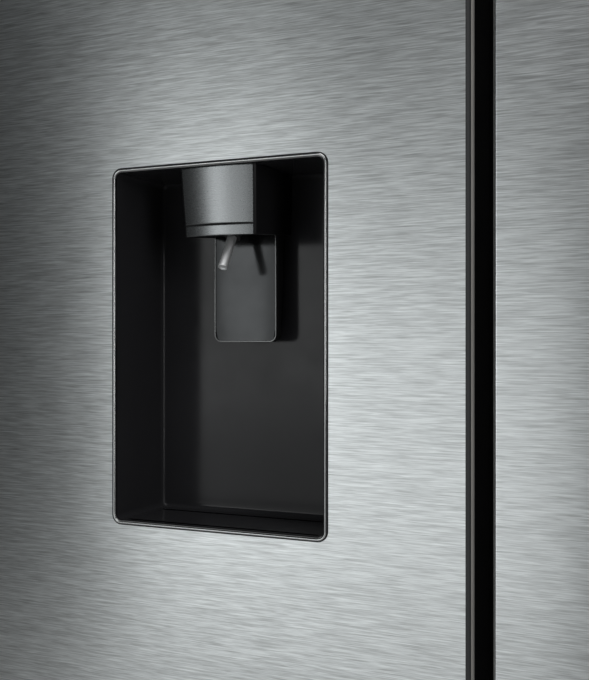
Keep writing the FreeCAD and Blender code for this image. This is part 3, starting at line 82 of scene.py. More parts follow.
class Look:
    """A Principled material and short calls for the nodes that vary it over the surface."""

    def __init__(self, name, color, roughness, **inputs):
        self.material = bpy.data.materials.new(name)
        self.material.use_nodes = True
        self.tree = self.material.node_tree
        self.shader = self.tree.nodes["Principled BSDF"]
        self.coords = self.add("ShaderNodeTexCoord").outputs["Object"]
        self.shader.inputs["Base Color"].default_value = (*color, 1)
        self.shader.inputs["Roughness"].default_value = roughness
        for key, value in inputs.items():
            self.shader.inputs[key.replace("_", " ")].default_value = value
        self.color, self.roughness = color, roughness

    def add(self, kind, **settings):
        node = self.tree.nodes.new(kind)
        for key, value in settings.items():
            setattr(node, key, value)
        return node

    def link(self, source, target):
        self.tree.links.new(source, target)

    def mapped(self, scale):
        mapping = self.add("ShaderNodeMapping")
        mapping.inputs["Scale"].default_value = scale
        self.link(self.coords, mapping.inputs["Vector"])
        return mapping.outputs["Vector"]

    def noise(self, scale, detail=3.0, rough=0.6, distortion=0.0):
        """Noise with a period of about 1 / scale metres along each axis."""
        node = self.add("ShaderNodeTexNoise")
        node.inputs["Scale"].default_value = 1.0
        node.inputs["Detail"].default_value = detail
        node.inputs["Roughness"].default_value = rough
        node.inputs["Distortion"].default_value = distortion
        self.link(self.mapped(scale), node.inputs["Vector"])
        return node.outputs["Fac"]

    def cells(self, scale, output="Distance"):
        """Voronoi cells as large as 1 / scale metres."""
        node = self.add("ShaderNodeTexVoronoi", feature="F1")
        node.inputs["Scale"].default_value = 1.0
        self.link(self.mapped(scale), node.inputs["Vector"])
        return node.outputs[output]

    def ranged(self, source, low, high):
        node = self.add("ShaderNodeMapRange")
        for key, value in zip(("From Min", "From Max", "To Min", "To Max"), (*NOISE_RANGE, low, high)):
            node.inputs[key].default_value = value
        self.link(source, node.inputs["Value"])
        return node.outputs["Result"]

    def math(self, operation, one, other):
        node = self.add("ShaderNodeMath", operation=operation)
        for socket, item in zip(node.inputs, (one, other)):
            if isinstance(item, (int, float)):
                socket.default_value = item
            else:
                self.link(item, socket)
        return node.outputs[0]

    def vary(self, source, amount):
        """Varies the base colour's brightness up and down by a share."""
        ramp = self.add("ShaderNodeValToRGB")
        shares = (1 - amount, 1 + amount)
        for element, position, share in zip(ramp.color_ramp.elements, NOISE_RANGE, shares):
            element.position = position
            element.color = (*(min(c * share, 1) for c in self.color), 1)
        self.link(source, ramp.inputs["Fac"])
        self.link(ramp.outputs["Color"], self.shader.inputs["Base Color"])

    def gloss(self, source, amount):
        """Varies the roughness up and down."""
        ranged = self.ranged(source, self.roughness - amount, self.roughness + amount)
        self.link(ranged, self.shader.inputs["Roughness"])

    def bump(self, source, distance, strength):
        """Raises the surface by a texture."""
        node = self.add("ShaderNodeBump")
        node.inputs["Strength"].default_value = strength
        node.inputs["Distance"].default_value = distance
        self.link(source, node.inputs["Height"])
        self.link(node.outputs["Normal"], self.shader.inputs["Normal"])


def even(size):
    """The noise scale for a grain of that many millimetres, alike in all directions."""
    return (1000 / size,) * 3


def brushed(name, color, roughness, length, width, amount, along="x", wave=0.15, relief=1.0, stretch=0.0):
    """Metal brushed along one axis: long soft streaks over a very fine hairline grain.

    Length and width of a streak are in millimetres, amount is the share by which they differ in brightness,
    wave bends them, relief scales their depth and stretch pulls the highlights across them.
    """
    look = Look(name, color, roughness, Metallic=1.0, Anisotropic=stretch, Anisotropic_Rotation=0.25)
    long_axis = "xyz".index(along)

    def grain(run, across):
        return tuple(1000 / (run if i == long_axis else across) for i in range(3))

    streaks = look.noise(grain(length, width), detail=2.0, rough=0.5, distortion=wave)
    hair = look.noise(grain(length * 0.4, width * 0.4), detail=1.0, distortion=wave)
    clouds = look.noise(even(240), detail=1.0)
    mixed = look.math("ADD", look.math("MULTIPLY", streaks, 0.70), look.math("MULTIPLY", hair, 0.22))
    mixed = look.math("ADD", mixed, look.math("MULTIPLY", clouds, 0.08))
    look.vary(mixed, amount)
    look.gloss(streaks, 0.02)
    look.bump(streaks, 0.00003 * relief, 0.4)
    return look


def moulded(name, color, roughness, grain=0.9, relief=0.00003, amount=0.06, **inputs):
    """Moulded plastic: a fine spark-eroded grain and slow changes of tone."""
    look = Look(name, color, roughness, **inputs)
    look.vary(look.noise(even(90), detail=4.0), amount)
    look.gloss(look.noise(even(35), detail=4.0), min(0.06, roughness * 0.35))
    look.bump(look.noise(even(grain), detail=2.0), relief, 0.6)
    return look


def coated(name, color, roughness, metallic=0.0):
    """Sprayed or powder coated sheet with a soft orange peel."""
    look = Look(name, color, roughness, Metallic=metallic, Coat_Weight=0.25, Coat_Roughness=0.25)
    look.vary(look.noise(even(140), detail=5.0), 0.05)
    look.gloss(look.noise(even(50), detail=4.0), 0.05)
    look.bump(look.noise(even(2.2), detail=2.0), 0.00004, 0.5)
    return look


def spangled(name, color, roughness):
    """Zinc coated sheet with its crystal spangle."""
    look = Look(name, color, roughness, Metallic=1.0)
    crystals = look.cells(even(7), output="Color")
    look.vary(crystals, 0.05)
    look.gloss(crystals, 0.03)
    look.bump(look.noise(even(3), detail=3.0), 0.00002, 0.4)
    return look


def foam_look():
    """Blown insulation with its small cells."""
    look = Look("urethane_foam", (0.78, 0.66, 0.40), 0.85)
    look.vary(look.noise(even(30), detail=6.0), 0.14)
    look.bump(look.cells(even(1.6)), 0.0004, 0.6)
    return look


def clear(name, color, roughness, ior):
    """Glass or clear plastic with a trace of haze."""
    look = Look(name, color, roughness, IOR=ior, Transmission_Weight=0.92)
    look.vary(look.noise(even(120), detail=3.0), 0.03)
    look.gloss(look.noise(even(60), detail=4.0), roughness * 0.4)
    return look


STEEL = brushed("brushed_steel_door", (0.585, 0.605, 0.610), 0.30, 22, 0.75, 0.46, wave=0.4, stretch=0.8)
SPOUT_STEEL = brushed("brushed_steel_spout", (0.215, 0.223, 0.228), 0.27, 14, 0.5, 0.08, relief=0.1)
RIM = moulded("satin_rim", (0.46, 0.465, 0.465), 0.19, relief=0.000001, Metallic=1.0)
LEVER_RIM = moulded("lever_rim", (0.17, 0.173, 0.173), 0.26, relief=0.000001, Metallic=1.0)
PIANO = moulded(
    "piano_black", (0.010, 0.010, 0.011), 0.16, relief=0.000004, amount=0.2,
    Coat_Weight=0.6, Coat_Roughness=0.05,
)
RECESS = moulded(
    "recess_black", (0.022, 0.022, 0.024), 0.16, relief=0.000002, amount=0.1, Specular_IOR_Level=0.155
)
SPOUT_BLACK = moulded("spout_black", (0.010, 0.010, 0.011), 0.38, relief=0.00001, Specular_IOR_Level=0.2)
SOFT_BLACK = moulded("soft_black_plastic", (0.020, 0.020, 0.021), 0.42)
PADDLE = moulded("satin_dark_metal", (0.030, 0.031, 0.032), 0.16, relief=0.000002, Metallic=0.85)
# Matte near-black laid over the freezer door's rounded steel corner: a painted dark reflection of the steel
# edge, not a part of its own.
DARK_EDGE_REFLECTION = moulded("dark_edge_reflection", (0.036, 0.037, 0.038), 0.60, relief=0.00001, Specular_IOR_Level=0.3)
STRIP = moulded("pale_strip", (0.66, 0.64, 0.60), 0.40, relief=0.00001, amount=0.03)
DARK = moulded("dark_moulding", (0.045, 0.045, 0.047), 0.48)
GREY = moulded("grey_moulding", (0.20, 0.205, 0.21), 0.45)
WHITE = moulded("white_liner", (0.80, 0.81, 0.80), 0.24, grain=2.5, relief=0.00002, amount=0.02)
WARM_WHITE = moulded("white_moulding", (0.74, 0.75, 0.745), 0.36, amount=0.03)
CASE = coated("graphite_case_paint", (0.085, 0.088, 0.090), 0.42)
BLACK_STEEL = coated("black_enamel", (0.015, 0.015, 0.016), 0.34)
GALVANISED = spangled("galvanised_sheet", (0.58, 0.60, 0.61), 0.42)
ZINC = spangled("zinc_plated", (0.66, 0.65, 0.60), 0.30)
ALUMINIUM = brushed("rolled_aluminium", (0.72, 0.73, 0.74), 0.36, 30, 0.8, 0.05, along="z")
NOZZLE = brushed("satin_nozzle", (0.88, 0.89, 0.895), 0.62, 8, 0.4, 0.04, along="z", relief=0.1)
COPPER = coated("copper_pipe", (0.72, 0.38, 0.22), 0.30, metallic=1.0)
FOAM = foam_look()
RUBBER = moulded("gasket_rubber", (0.30, 0.305, 0.31), 0.62, grain=0.5)
SHELF_GLASS = clear("shelf_glass", (0.86, 0.95, 0.92), 0.03, 1.52)
CLEAR_PLASTIC = clear("clear_bin_plastic", (0.92, 0.95, 0.97), 0.07, 1.49)

NODE_LOOKS = {
    CASE: ("cabinet_shell",),
    GALVANISED: ("back_panel", "base_pan", "machine_cover"),
    FOAM: ("cabinet_insulation", "freezer_door_foam", "fridge_door_foam"),
    WHITE: ("freezer_liner", "fridge_liner", "freezer_door_liner", "fridge_door_liner"),
    WARM_WHITE: ("evaporator_cover", "air_duct_cover", "shelf_frames", "ice_chute"),
    DARK: (
        "toe_grille", "fan_shroud", "condenser_fan", "evaporator_fan", "water_valve", "power_inlet",
        "rear_roller_left", "rear_roller_right", "freezer_door_caps", "fridge_door_caps", "chute_flap",
    ),
    BLACK_STEEL: ("compressor", "condenser"),
    ALUMINIUM: ("evaporator", "ice_auger"),
    ZINC: ("top_hinges", "bottom_hinges", "leveling_foot_left", "leveling_foot_right"),
    GREY: ("top_cover", "ice_maker"),
    PIANO: ("control_panel", "dispenser_bezel"),
    RECESS: ("dispenser_recess", "drip_tray"),
    SOFT_BLACK: ("spout_housing", "freezer_door_trim", "fridge_door_trim", "drip_grille"),
    RUBBER: ("freezer_door_gasket", "fridge_door_gasket"),
    SHELF_GLASS: ("shelf_panes",),
    CLEAR_PLASTIC: (
        "freezer_door_bins", "fridge_door_bins", "ice_bucket",
        "freezer_drawer_upper", "freezer_drawer_lower", "crisper_upper", "crisper_lower",
    ),
    STEEL: ("freezer_door_skin", "fridge_door_skin"),
    SPOUT_STEEL: ("spout_face", "spout_band"),
    NOZZLE: ("water_nozzle",),
    PADDLE: ("paddle",),
}


def dress_nodes():
    """Gives every CAD node its material."""
    for look, names in NODE_LOOKS.items():
        for name in names:
            mesh = bpy.data.objects[name].data
            mesh.materials.clear()
            mesh.materials.append(look.material)


# ---------------------------------------------------------------- mesh helpers
def finish_piece(bm, name, look, body, replaced=(), sharp=40):
    """Turns a bmesh into a piece that rides on a body."""
    bmesh.ops.remove_doubles(bm, verts=bm.verts, dist=1e-6)
    bmesh.ops.recalc_face_normals(bm, faces=bm.faces)
    mesh = bpy.data.meshes.new(name)
    bm.to_mesh(mesh)
    bm.free()
    mesh.materials.append(look.material)
    for polygon in mesh.polygons:
        polygon.use_smooth = True
    mesh.set_sharp_from_angle(angle=math.radians(sharp))
    piece = bpy.data.objects.new(name, mesh)
    bpy.context.scene.collection.objects.link(piece)
    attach(piece, body)
    if replaced:
        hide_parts(*replaced)


def add_box(bm, low, high, radius=0.0):
    """A box with all its edges rounded."""
    part = bmesh.new()
    bmesh.ops.create_cube(part, size=1.0)
    low, high = Vector(low), Vector(high)
    size, centre = high - low, (high + low) / 2
    for vert in part.verts:
        vert.co = Vector(v * s for v, s in zip(vert.co, size)) + centre
    if radius:
        edges = list(part.edges)
        bmesh.ops.bevel(
            part, geom=edges, offset=radius, segments=3, profile=0.5, affect="EDGES", clamp_overlap=True
        )
    mesh = bpy.data.meshes.new("part")
    part.to_mesh(mesh)
    part.free()
    bm.from_mesh(mesh)
    bpy.data.meshes.remove(mesh)


def add_plate(bm, grid, behind):
    """A thin plate: quads through a grid of points, the same again behind them, and the rim between."""
    front = [[bm.verts.new(p) for p in row] for row in grid]
    rear = [[bm.verts.new(p + behind) for p in row] for row in grid]
    for rows in (front, rear):
        for a, b in zip(rows, rows[1:]):
            for i in range(len(a) - 1):
                bm.faces.new((a[i], a[i + 1], b[i + 1], b[i]))

    def border(rows):
        inner = rows[1:-1]
        return rows[0] + [row[-1] for row in inner] + rows[-1][::-1] + [row[0] for row in inner[::-1]]

    near, far = border(front), border(rear)
    for i in range(len(near)):
        j = (i + 1) % len(near)
        bm.faces.new((near[i], near[j], far[j], far[i]))


def add_loft(bm, loops, closed=False, capped=True):
    """Skins a row of loops with the same number of points; closed joins the last loop to the first."""
    rows = [[bm.verts.new(p) for p in loop] for loop in loops]
    count = len(rows[0])
    for a, b in zip(rows, rows[1:] + rows[:1] if closed else rows[1:]):
        for i in range(count):
            j = (i + 1) % count
            bm.faces.new((a[i], a[j], b[j], b[i]))
    if capped and not closed:
        bm.faces.new(rows[0][::-1])
        bm.faces.new(rows[-1])


def rounded_outline(x0, x1, z0, z1, radius, steps=8):
    """A rounded rectangle in the door's plane as (x, z) pairs; a tiny radius still has all its points."""
    radius = max(radius, 0.05)
    points = []
    left, right, low, high = x0 + radius, x1 - radius, z0 + radius, z1 - radius
    for cx, cz, start in ((right, low, -90), (right, high, 0), (left, high, 90), (left, low, 180)):
        for i in range(steps + 1):
            angle = math.radians(start + 90 * i / steps)
            points.append((cx + radius * math.cos(angle), cz + radius * math.sin(angle)))
    return points


def ring(bm, half_w, half_h, radius, profile):
    """A closed ring in the door's plane; profile points are (inset from the outline, depth)."""
    loops = []
    for inset, depth in profile:
        x, z = half_w - inset, half_h - inset
        loops.append([at(px, depth, pz) for px, pz in rounded_outline(-x, x, -z, z, radius - inset)])
    add_loft(bm, loops, closed=True)


def add_lathe(bm, profile, origin, axis, steps=32, hexed=()):
    """A closed body of revolution: profile points are (radius, distance along the axis) in millimetres.

    The points of the profile numbered in hexed are drawn as a hexagon.
    """
    axis = Vector(axis).normalized()
    side = axis.orthogonal().normalized()
    other = axis.cross(side)
    loops = []
    for index, (radius, along) in enumerate(profile):
        loop = []
        for i in range(steps):
            angle = math.tau * i / steps
            reach = radius
            if index in hexed:
                sector = (angle % (math.tau / 6)) - math.tau / 12
                reach = radius * math.cos(math.tau / 12) / math.cos(sector)
            spot = Vector(origin) + axis * (along * MM)
            loop.append(spot + (side * math.cos(angle) + other * math.sin(angle)) * (max(reach, 0.01) * MM))
        loops.append(loop)
    add_loft(bm, loops)


def add_tube(bm, points, radius, steps=12):
    """A round tube along a path of points, with its ends closed."""
    points = [Vector(p) for p in points]
    loops = []
    normal = (points[1] - points[0]).orthogonal().normalized()
    for i, point in enumerate(points):
        ahead = points[min(i + 1, len(points) - 1)] - points[max(i - 1, 0)]
        ahead.normalize()
        normal = (normal - ahead * normal.dot(ahead)).normalized()
        other = ahead.cross(normal)
        turns = [math.tau * k / steps for k in range(steps)]
        loops.append([point + (normal * math.cos(a) + other * math.sin(a)) * radius for a in turns])
    add_loft(bm, loops)


def arc_points(points, radius, steps=6):
    """The corners of a path rounded off."""
    points = [Vector(p) for p in points]
    path = [points[0]]
    for before, corner, after in zip(points, points[1:], points[2:]):
        a = corner + (before - corner).normalized() * radius
        b = corner + (after - corner).normalized() * radius
        for i in range(steps + 1):
            share = i / steps
            path.append(a.lerp(corner, share).lerp(corner.lerp(b, share), share))
    path.append(points[-1])
    return path


# ---------------------------------------------------------------- dispenser
# Millimetres: the bezel's width and outer corner radius, the opening inside it and the depth of the recess.
RIM_WIDTH = 3.4
CORNER = 8.0
OPEN_W = HALF_W / MM - RIM_WIDTH
OPEN_H = HALF_H / MM - RIM_WIDTH
RECESS_DEPTH = 69.0

# Sections of the bezel's rings: (inset from the outline, depth) in millimetres.
BAND_SECTION = [(0.0, 0.0), (0.0, -0.7), (0.2, -1.0), (0.6, -1.0), (0.8, -0.6), (0.8, 0.0)]
BEAD_SECTION = [
    (0.75, 0.2), (0.75, -0.7), (0.95, -1.15), (1.35, -1.42), (1.8, -1.5),
    (2.25, -1.4), (2.6, -1.1), (2.75, -0.6), (2.75, 0.2),
]
LIP_SECTION = [(2.7, 0.2), (2.7, -0.6), (2.9, -0.8), (3.2, -0.75), (3.4, -0.4), (3.4, 0.9), (2.7, 0.9)]


def make_bezel():
    """Outer black band of the bezel, its satin bead and the black lip inside it."""
    for name, section, look, replaced in (
        ("bezel_band", BAND_SECTION, SPOUT_BLACK, ("dispenser_bezel",)),
        ("bezel_bead", BEAD_SECTION, RIM, ()),
        ("bezel_lip", LIP_SECTION, PIANO, ()),
    ):
        bm = bmesh.new()
        ring(bm, HALF_W / MM, HALF_H / MM, CORNER, section)
        finish_piece(bm, name, look, "freezer_door", replaced)


def recess_loops(grow=0.0):
    """Rounded outlines from the mouth of the recess to its back; the cove along the floor is larger."""
    side, cove, steps, blend = 3.0, 4.0, 8, 8.0
    stations = [((0.0, 0.0), (depth, depth), 0.0) for depth in (0.0, RECESS_DEPTH - cove)]
    for i in range(1, steps + 1):
        turn = math.pi / 2 * i / steps
        insets = tuple(r * (1 - math.cos(turn)) for r in (side, cove))
        depths = tuple(RECESS_DEPTH - r * (1 - math.sin(turn)) for r in (side, cove))
        stations.append((insets, depths, grow))
    loops = []
    for (inset, low_inset), (depth, low_depth), behind in stations:
        x0, x1 = -OPEN_W + inset - grow, OPEN_W - inset + grow
        z0, z1 = -OPEN_H + low_inset - grow, OPEN_H - inset + grow
        loop = []
        for x, z in rounded_outline(x0, x1, z0, z1, CORNER - RIM_WIDTH - inset / 2 + grow):
            share = min(max((z - z0) / blend, 0.0), 1.0)
            loop.append(at(x, low_depth * (1 - share) + depth * share + behind, z))
        loops.append(loop)
    return loops


def make_recess():
    """Shell of the recess: its inside from the back to the mouth, then its outside back again."""
    bm = bmesh.new()
    add_loft(bm, recess_loops()[::-1] + recess_loops(1.6))
    finish_piece(bm, "recess_shell", RECESS, "freezer_door", ("dispenser_recess",))


# Millimetres: heights of the spout's top and bottom, its half widths there, the depth of its front at the
# top, how far the front leans back on the way down and how far its underside rises towards the back.
SPOUT_TOP, SPOUT_LOW = OPEN_H, 83.0
SPOUT_HALF_TOP, SPOUT_HALF_LOW = 32.2, 30.4
SPOUT_FRONT, SPOUT_LEAN, SPOUT_RISE = 3.0, 4.5, 5.0


def spout_at(z):
    """Half width of the spout and depth of its front at a height; it tapers and leans back downwards."""
    share = (SPOUT_TOP - z) / (SPOUT_TOP - SPOUT_LOW)
    return SPOUT_HALF_TOP + (SPOUT_HALF_LOW - SPOUT_HALF_TOP) * share, SPOUT_FRONT + SPOUT_LEAN * share


def add_spout_plate(bm, z0, z1):
    """A tapered plate on the spout's front, bowed about an upright axis, with small chamfers."""
    margin, proud, bulge, chamfer, columns = 2.0, 3.5, 3.05, 0.45, 28

    def row(z, inset, lift):
        half, face = spout_at(z)
        half -= margin + inset
        points = []
        for i in range(columns + 1):
            x = half * (2 * i / columns - 1)
            front = face + lift if lift > 0 else face - proud - lift + bulge * (x / half) ** 2
            points.append(at(x, front, z))
        return points

    rows = [
        row(z0, 0.1, 0.2),
        row(z0, 0.0, -chamfer),
        row(z0 + chamfer * 0.3, 0.08, -chamfer * 0.3),
        row(z0 + chamfer, 0.25, 0.0),
        row(z0 + chamfer + 0.5, 0.25, 0.0),
        row(z1 - chamfer - 0.5, 0.25, 0.0),
        row(z1 - chamfer, 0.25, 0.0),
        row(z1 - chamfer * 0.3, 0.08, -chamfer * 0.3),
        row(z1, 0.0, -chamfer),
        row(z1, 0.1, 0.2),
    ]
    grid = [[bm.verts.new(p) for p in loop] for loop in rows]
    for a, b in zip(grid, grid[1:] + grid[:1]):
        for i in range(columns):
            bm.faces.new((a[i], a[i + 1], b[i + 1], b[i]))
    for i in (0, columns):
        bm.faces.new([line[i] for line in grid])


def make_spout():
    """Black housing under the ceiling of the recess with its steel face and band."""
    wall, radius, back = 2.5, 2.2, RECESS_DEPTH - 0.3

    def outline(z, inset, lift):
        half, front = spout_at(z)
        half, front = half - inset, front + inset
        points = [(half, back - inset), (-half, back - inset)]
        for cx, start in ((-half + radius, 180), (half - radius, 270)):
            for i in range(7):
                angle = math.radians(start + 90 * i / 6)
                points.append((cx + radius * math.cos(angle), front + radius + radius * math.sin(angle)))
        return [at(x, y, z + lift * (y - front) / (back - front)) for x, y in points]

    bm = bmesh.new()
    add_loft(bm, [
        outline(SPOUT_TOP - 0.2, 0.0, 0.0),
        outline(SPOUT_LOW + 0.7, 0.0, SPOUT_RISE),
        outline(SPOUT_LOW + 0.2, 0.15, SPOUT_RISE),
        outline(SPOUT_LOW, 0.6, SPOUT_RISE),
        outline(SPOUT_LOW, wall - 0.3, SPOUT_RISE),
        outline(SPOUT_LOW + 0.4, wall, SPOUT_RISE),
        outline(SPOUT_TOP - 4.0, wall, 0.0),
    ])
    add_box(bm, at(-7, 9, 86.4), at(7, 38, 92), 0.001)
    finish_piece(bm, "spout_shell", SPOUT_BLACK, "freezer_door", ("spout_housing",))

    parting = SPOUT_LOW + 8.5
    for name, z0, z1, node in (
        ("spout_band_plate", SPOUT_LOW + 0.1, parting - 0.45, "spout_band"),
        ("spout_face_plate", parting + 0.45, SPOUT_TOP - 0.4, "spout_face"),
    ):
        bm = bmesh.new()
        add_spout_plate(bm, z0, z1)
        finish_piece(bm, name, SPOUT_STEEL, "freezer_door", (node,), sharp=30)


def make_nozzle():
    """Satin water tube that leans forward out of the spout, with its collar."""
    tilt, reach, bore, tip = math.radians(32.0), 34.0, 2.3, (12.0, 59.5)
    axis = Vector((0.0, math.sin(tilt), math.cos(tilt)))
    origin = at(0, *tip)
    bm = bmesh.new()
    tube = [(bore, 0.6), (bore, 0.2), (bore + 0.35, 0.0), (3.3, 0.0)]
    tube += [(3.6, 0.4), (3.6, reach), (bore, reach), (bore, 6.0)]
    add_lathe(bm, tube, origin, axis, steps=48)
    finish_piece(bm, "water_tube", NOZZLE, "freezer_door", ("water_nozzle",), sharp=35)
    bm = bmesh.new()
    collar = [(3.7, 28.6), (6.0, 28.6), (6.6, 29.3), (6.6, 33.0), (3.7, 33.0)]
    add_lathe(bm, collar, origin, axis, steps=48)
    finish_piece(bm, "water_tube_collar", SOFT_BLACK, "freezer_door")


def make_paddle():
    """Dispenser lever: a bowed satin face with a brighter edge, its dark body, its neck and its pins."""
    half, low, high, front = 27.4, 3.3, 92.0, 48.5
    low_back, high_back, radius = 58.0, 64.5, 6.0

    def outline(inset):
        """Rounded at the bottom corners and square at the top, anticlockwise from the lower left corner."""
        points = []
        reach = radius - inset
        for cx, start in ((-half + radius, 180), (half - radius, 270)):
            for i in range(9):
                angle = math.radians(start + 90 * i / 8)
                points.append((cx + reach * math.cos(angle), low + radius + reach * math.sin(angle)))
        return points + [(half - inset, high - inset), (-half + inset, high - inset)]

    def level_loop(depth, inset):
        return [at(x, front + depth, z) for x, z in outline(inset)]

    def rear_loop(gap, inset):
        slope = (high_back - low_back) / (high - low)
        return [at(x, low_back + slope * (z - low) - gap, z) for x, z in outline(inset)]

    bm = bmesh.new()
    add_loft(bm, [
        level_loop(1.2, 0.9), level_loop(1.5, 0.3), level_loop(2.0, 0.2),
        rear_loop(0.8, 0.2), rear_loop(0.0, 1.0),
    ])
    add_box(bm, at(-16, 53, 88), at(16, 64, 110), 0.0025)
    add_lathe(bm, [(2.5, -30.2), (2.5, 30.2)], at(0, 60, 104), (1, 0, 0), steps=24)
    finish_piece(bm, "paddle_body", SOFT_BLACK, "paddle", ("paddle",))

    bm = bmesh.new()
    columns, rows, inset = 20, 8, 1.1
    grid = []
    for r in range(rows + 1):
        z = low + inset + (high - low - 2 * inset) * r / rows
        rise = max(radius - (z - low), 0.0)
        wide = half - inset - (radius - inset) * (1 - math.sqrt(max(1 - (rise / radius) ** 2, 0.0)))
        spots = [wide * (2 * c / columns - 1) for c in range(columns + 1)]
        grid.append([at(x, front + 0.2 + 0.7 * (x / half) ** 2, z) for x in spots])
    add_plate(bm, grid, Vector((0, 1.2 * MM, 0)))
    finish_piece(bm, "paddle_face", PADDLE, "paddle", sharp=25)

    bm = bmesh.new()
    sections = ((0.35, 0.9), (0.1, 0.45), (0.2, 0.1), (0.55, 0.0), (1.0, 0.12), (1.15, 0.9))
    add_loft(bm, [level_loop(depth, inset) for inset, depth in sections], closed=True)
    finish_piece(bm, "paddle_edge", LEVER_RIM, "paddle")


def make_drip_tray():
    """Lift-out tray with its ribbed grille."""
    low, high = span("drip_tray")
    top = span("drip_grille")[1].z
    bm = bmesh.new()
    add_loft(bm, tray_loops(low, high))
    finish_piece(bm, "drip_tray_bowl", RECESS, "tray", ("drip_tray",))

    bm = bmesh.new()
    x0, x1, y0, y1 = low.x, high.x, low.y, high.y
    edge, thick, ribs, rib_half = 0.005, 0.0025, 8, 0.0017
    for y in (y0, y1 - edge):
        add_box(bm, (x0, y, top - thick), (x1, y + edge, top), 0.0006)
    for x in (x0, x1 - edge):
        add_box(bm, (x, y0 + edge / 2, top - thick), (x + edge, y1 - edge / 2, top - 0.0001), 0.0006)
    pitch = (y1 - y0 - 2 * edge) / ribs
    for i in range(ribs):
        y = y0 + edge + (i + 0.5) * pitch
        rib_low = (x0 + edge / 2, y - rib_half, top - 0.0022)
        rib_high = (x1 - edge / 2, y + rib_half, top - 0.0003)
        add_box(bm, rib_low, rib_high, 0.0007)
    finish_piece(bm, "drip_tray_ribs", SOFT_BLACK, "tray", ("drip_grille",))


def tray_loops(low, high):
    """An open bowl between two corners: outside up, over the lip and down the inside."""
    wall, radius = 1.8, 3.0
    x0, x1, y0, y1 = low.x / MM, high.x / MM, low.y / MM, high.y / MM

    def loop(inset, z):
        outline = rounded_outline(x0 + inset, x1 - inset, y0 + inset, y1 - inset, radius - inset / 2)
        return [Vector((x * MM, y * MM, z)) for x, y in outline]

    return [
        loop(0.8, low.z), loop(0.0, low.z + 0.0009), loop(0.0, high.z - 0.0004), loop(0.4, high.z),
        loop(wall - 0.3, high.z), loop(wall, high.z - 0.0004), loop(wall, low.z + 0.003),
        loop(wall + 1.2, low.z + wall * MM),
    ]


# ---------------------------------------------------------------- door edges
def make_edge_piece(name, section, look, door, node, sign, replaced=(), sharp=60):
    """A section drawn along the whole latch edge of a CAD node; sign is the side the edge faces in X.

    The points of the section are (inset from the edge, depth behind the door's face) in millimetres.
    """
    low, high = span(node)
    edge = high.x if sign > 0 else low.x
    bm = bmesh.new()
    add_loft(bm, [
        [Vector((edge - sign * inset * MM, FACE_Y + depth * MM, z)) for inset, depth in section]
        for z in (low.z, high.z)
    ])
    finish_piece(bm, name, look, door, replaced, sharp)


def make_door_grip(door, sign):
    """Moulded latch edge of a door with its finger pocket."""
    deep, wall, start, end, back, flange, round_ = 22.0, 4.0, 22.0, 48.0, 68.0, 12.2, 6

    def curve(cx, cy, first, last, steps=8):
        angles = [math.radians(first + (last - first) * i / steps) for i in range(steps + 1)]
        return [(cx + round_ * math.cos(a), cy + round_ * math.sin(a)) for a in angles]

    section = [(0.05, flange + 0.35), (0.35, flange + 0.05), (1.3, flange), (1.3, 3.4), (3.4, 1.3)]
    section += [(deep + wall, 1.3), (deep + wall, back), (0.0, back)]
    section += [(0.0, end + 10.0), (0.3, end + 8.4), (1.2, end + 7.4)]
    section += curve(deep - round_, end - round_, 70, 0) + curve(deep - round_, start + round_, 0, -70)
    section += [(1.2, start - 7.4), (0.3, start - 8.2), (0.0, start - 9.0)]
    trim = f"{door}_trim"
    make_edge_piece(f"{door}_grip", section, SOFT_BLACK, door, trim, sign, (trim,), 30)


def make_door_strip(door, sign):
    """Matte dark shell over the rounded steel corner, a painted reflection of the dark the steel edge
    mirrors, and the pale strip behind it along the latch edge.
    """
    bend, outside, inside = 3, 3.06, 2.8
    turns = [math.radians(90 * i / 8) for i in range(9)]
    dark_edge_section = [(bend - outside * math.sin(a), bend - outside * math.cos(a)) for a in turns]
    dark_edge_section += [(bend - inside * math.sin(a), bend - inside * math.cos(a)) for a in reversed(turns)]
    strip = [(-0.06, 3.05), (-0.06, 11.8), (0.2, 12.0), (0.2, 3.05)]
    skin = f"{door}_skin"
    make_edge_piece(f"{door}_corner_guard", dark_edge_section, DARK_EDGE_REFLECTION, door, skin, sign)
    make_edge_piece(f"{door}_side_strip", strip, STRIP, door, skin, sign)


# ---------------------------------------------------------------- small hardware
def screws(name, look, spots, axis, radius, lift):
    """Pan-head screws with hexagon sockets, standing on the cabinet at some spots."""
    bm = bmesh.new()
    profile = [
        (radius, 0.0), (radius, lift * 0.35), (radius * 0.86, lift * 0.8), (radius * 0.62, lift),
        (radius * 0.42, lift), (radius * 0.40, lift * 0.3),
    ]
    for spot in spots:
        add_lathe(bm, profile, spot, axis, steps=24, hexed=(4, 5))
    finish_piece(bm, name, look, "cabinet", sharp=35)


def fins(name, look, node, count, pad):
    """Thin plates across a coil; pad is how far they stay inside its box."""
    low, high = span(node)
    end, thick = 0.024, 0.0003
    first, last = low.x + end, high.x - end
    bm = bmesh.new()
    for i in range(count):
        x = first + (last - first) * i / (count - 1)
        add_box(bm, (x - thick, low.y + pad, low.z + pad), (x + thick, high.y - pad, high.z - pad))
    finish_piece(bm, name, look, "cabinet")


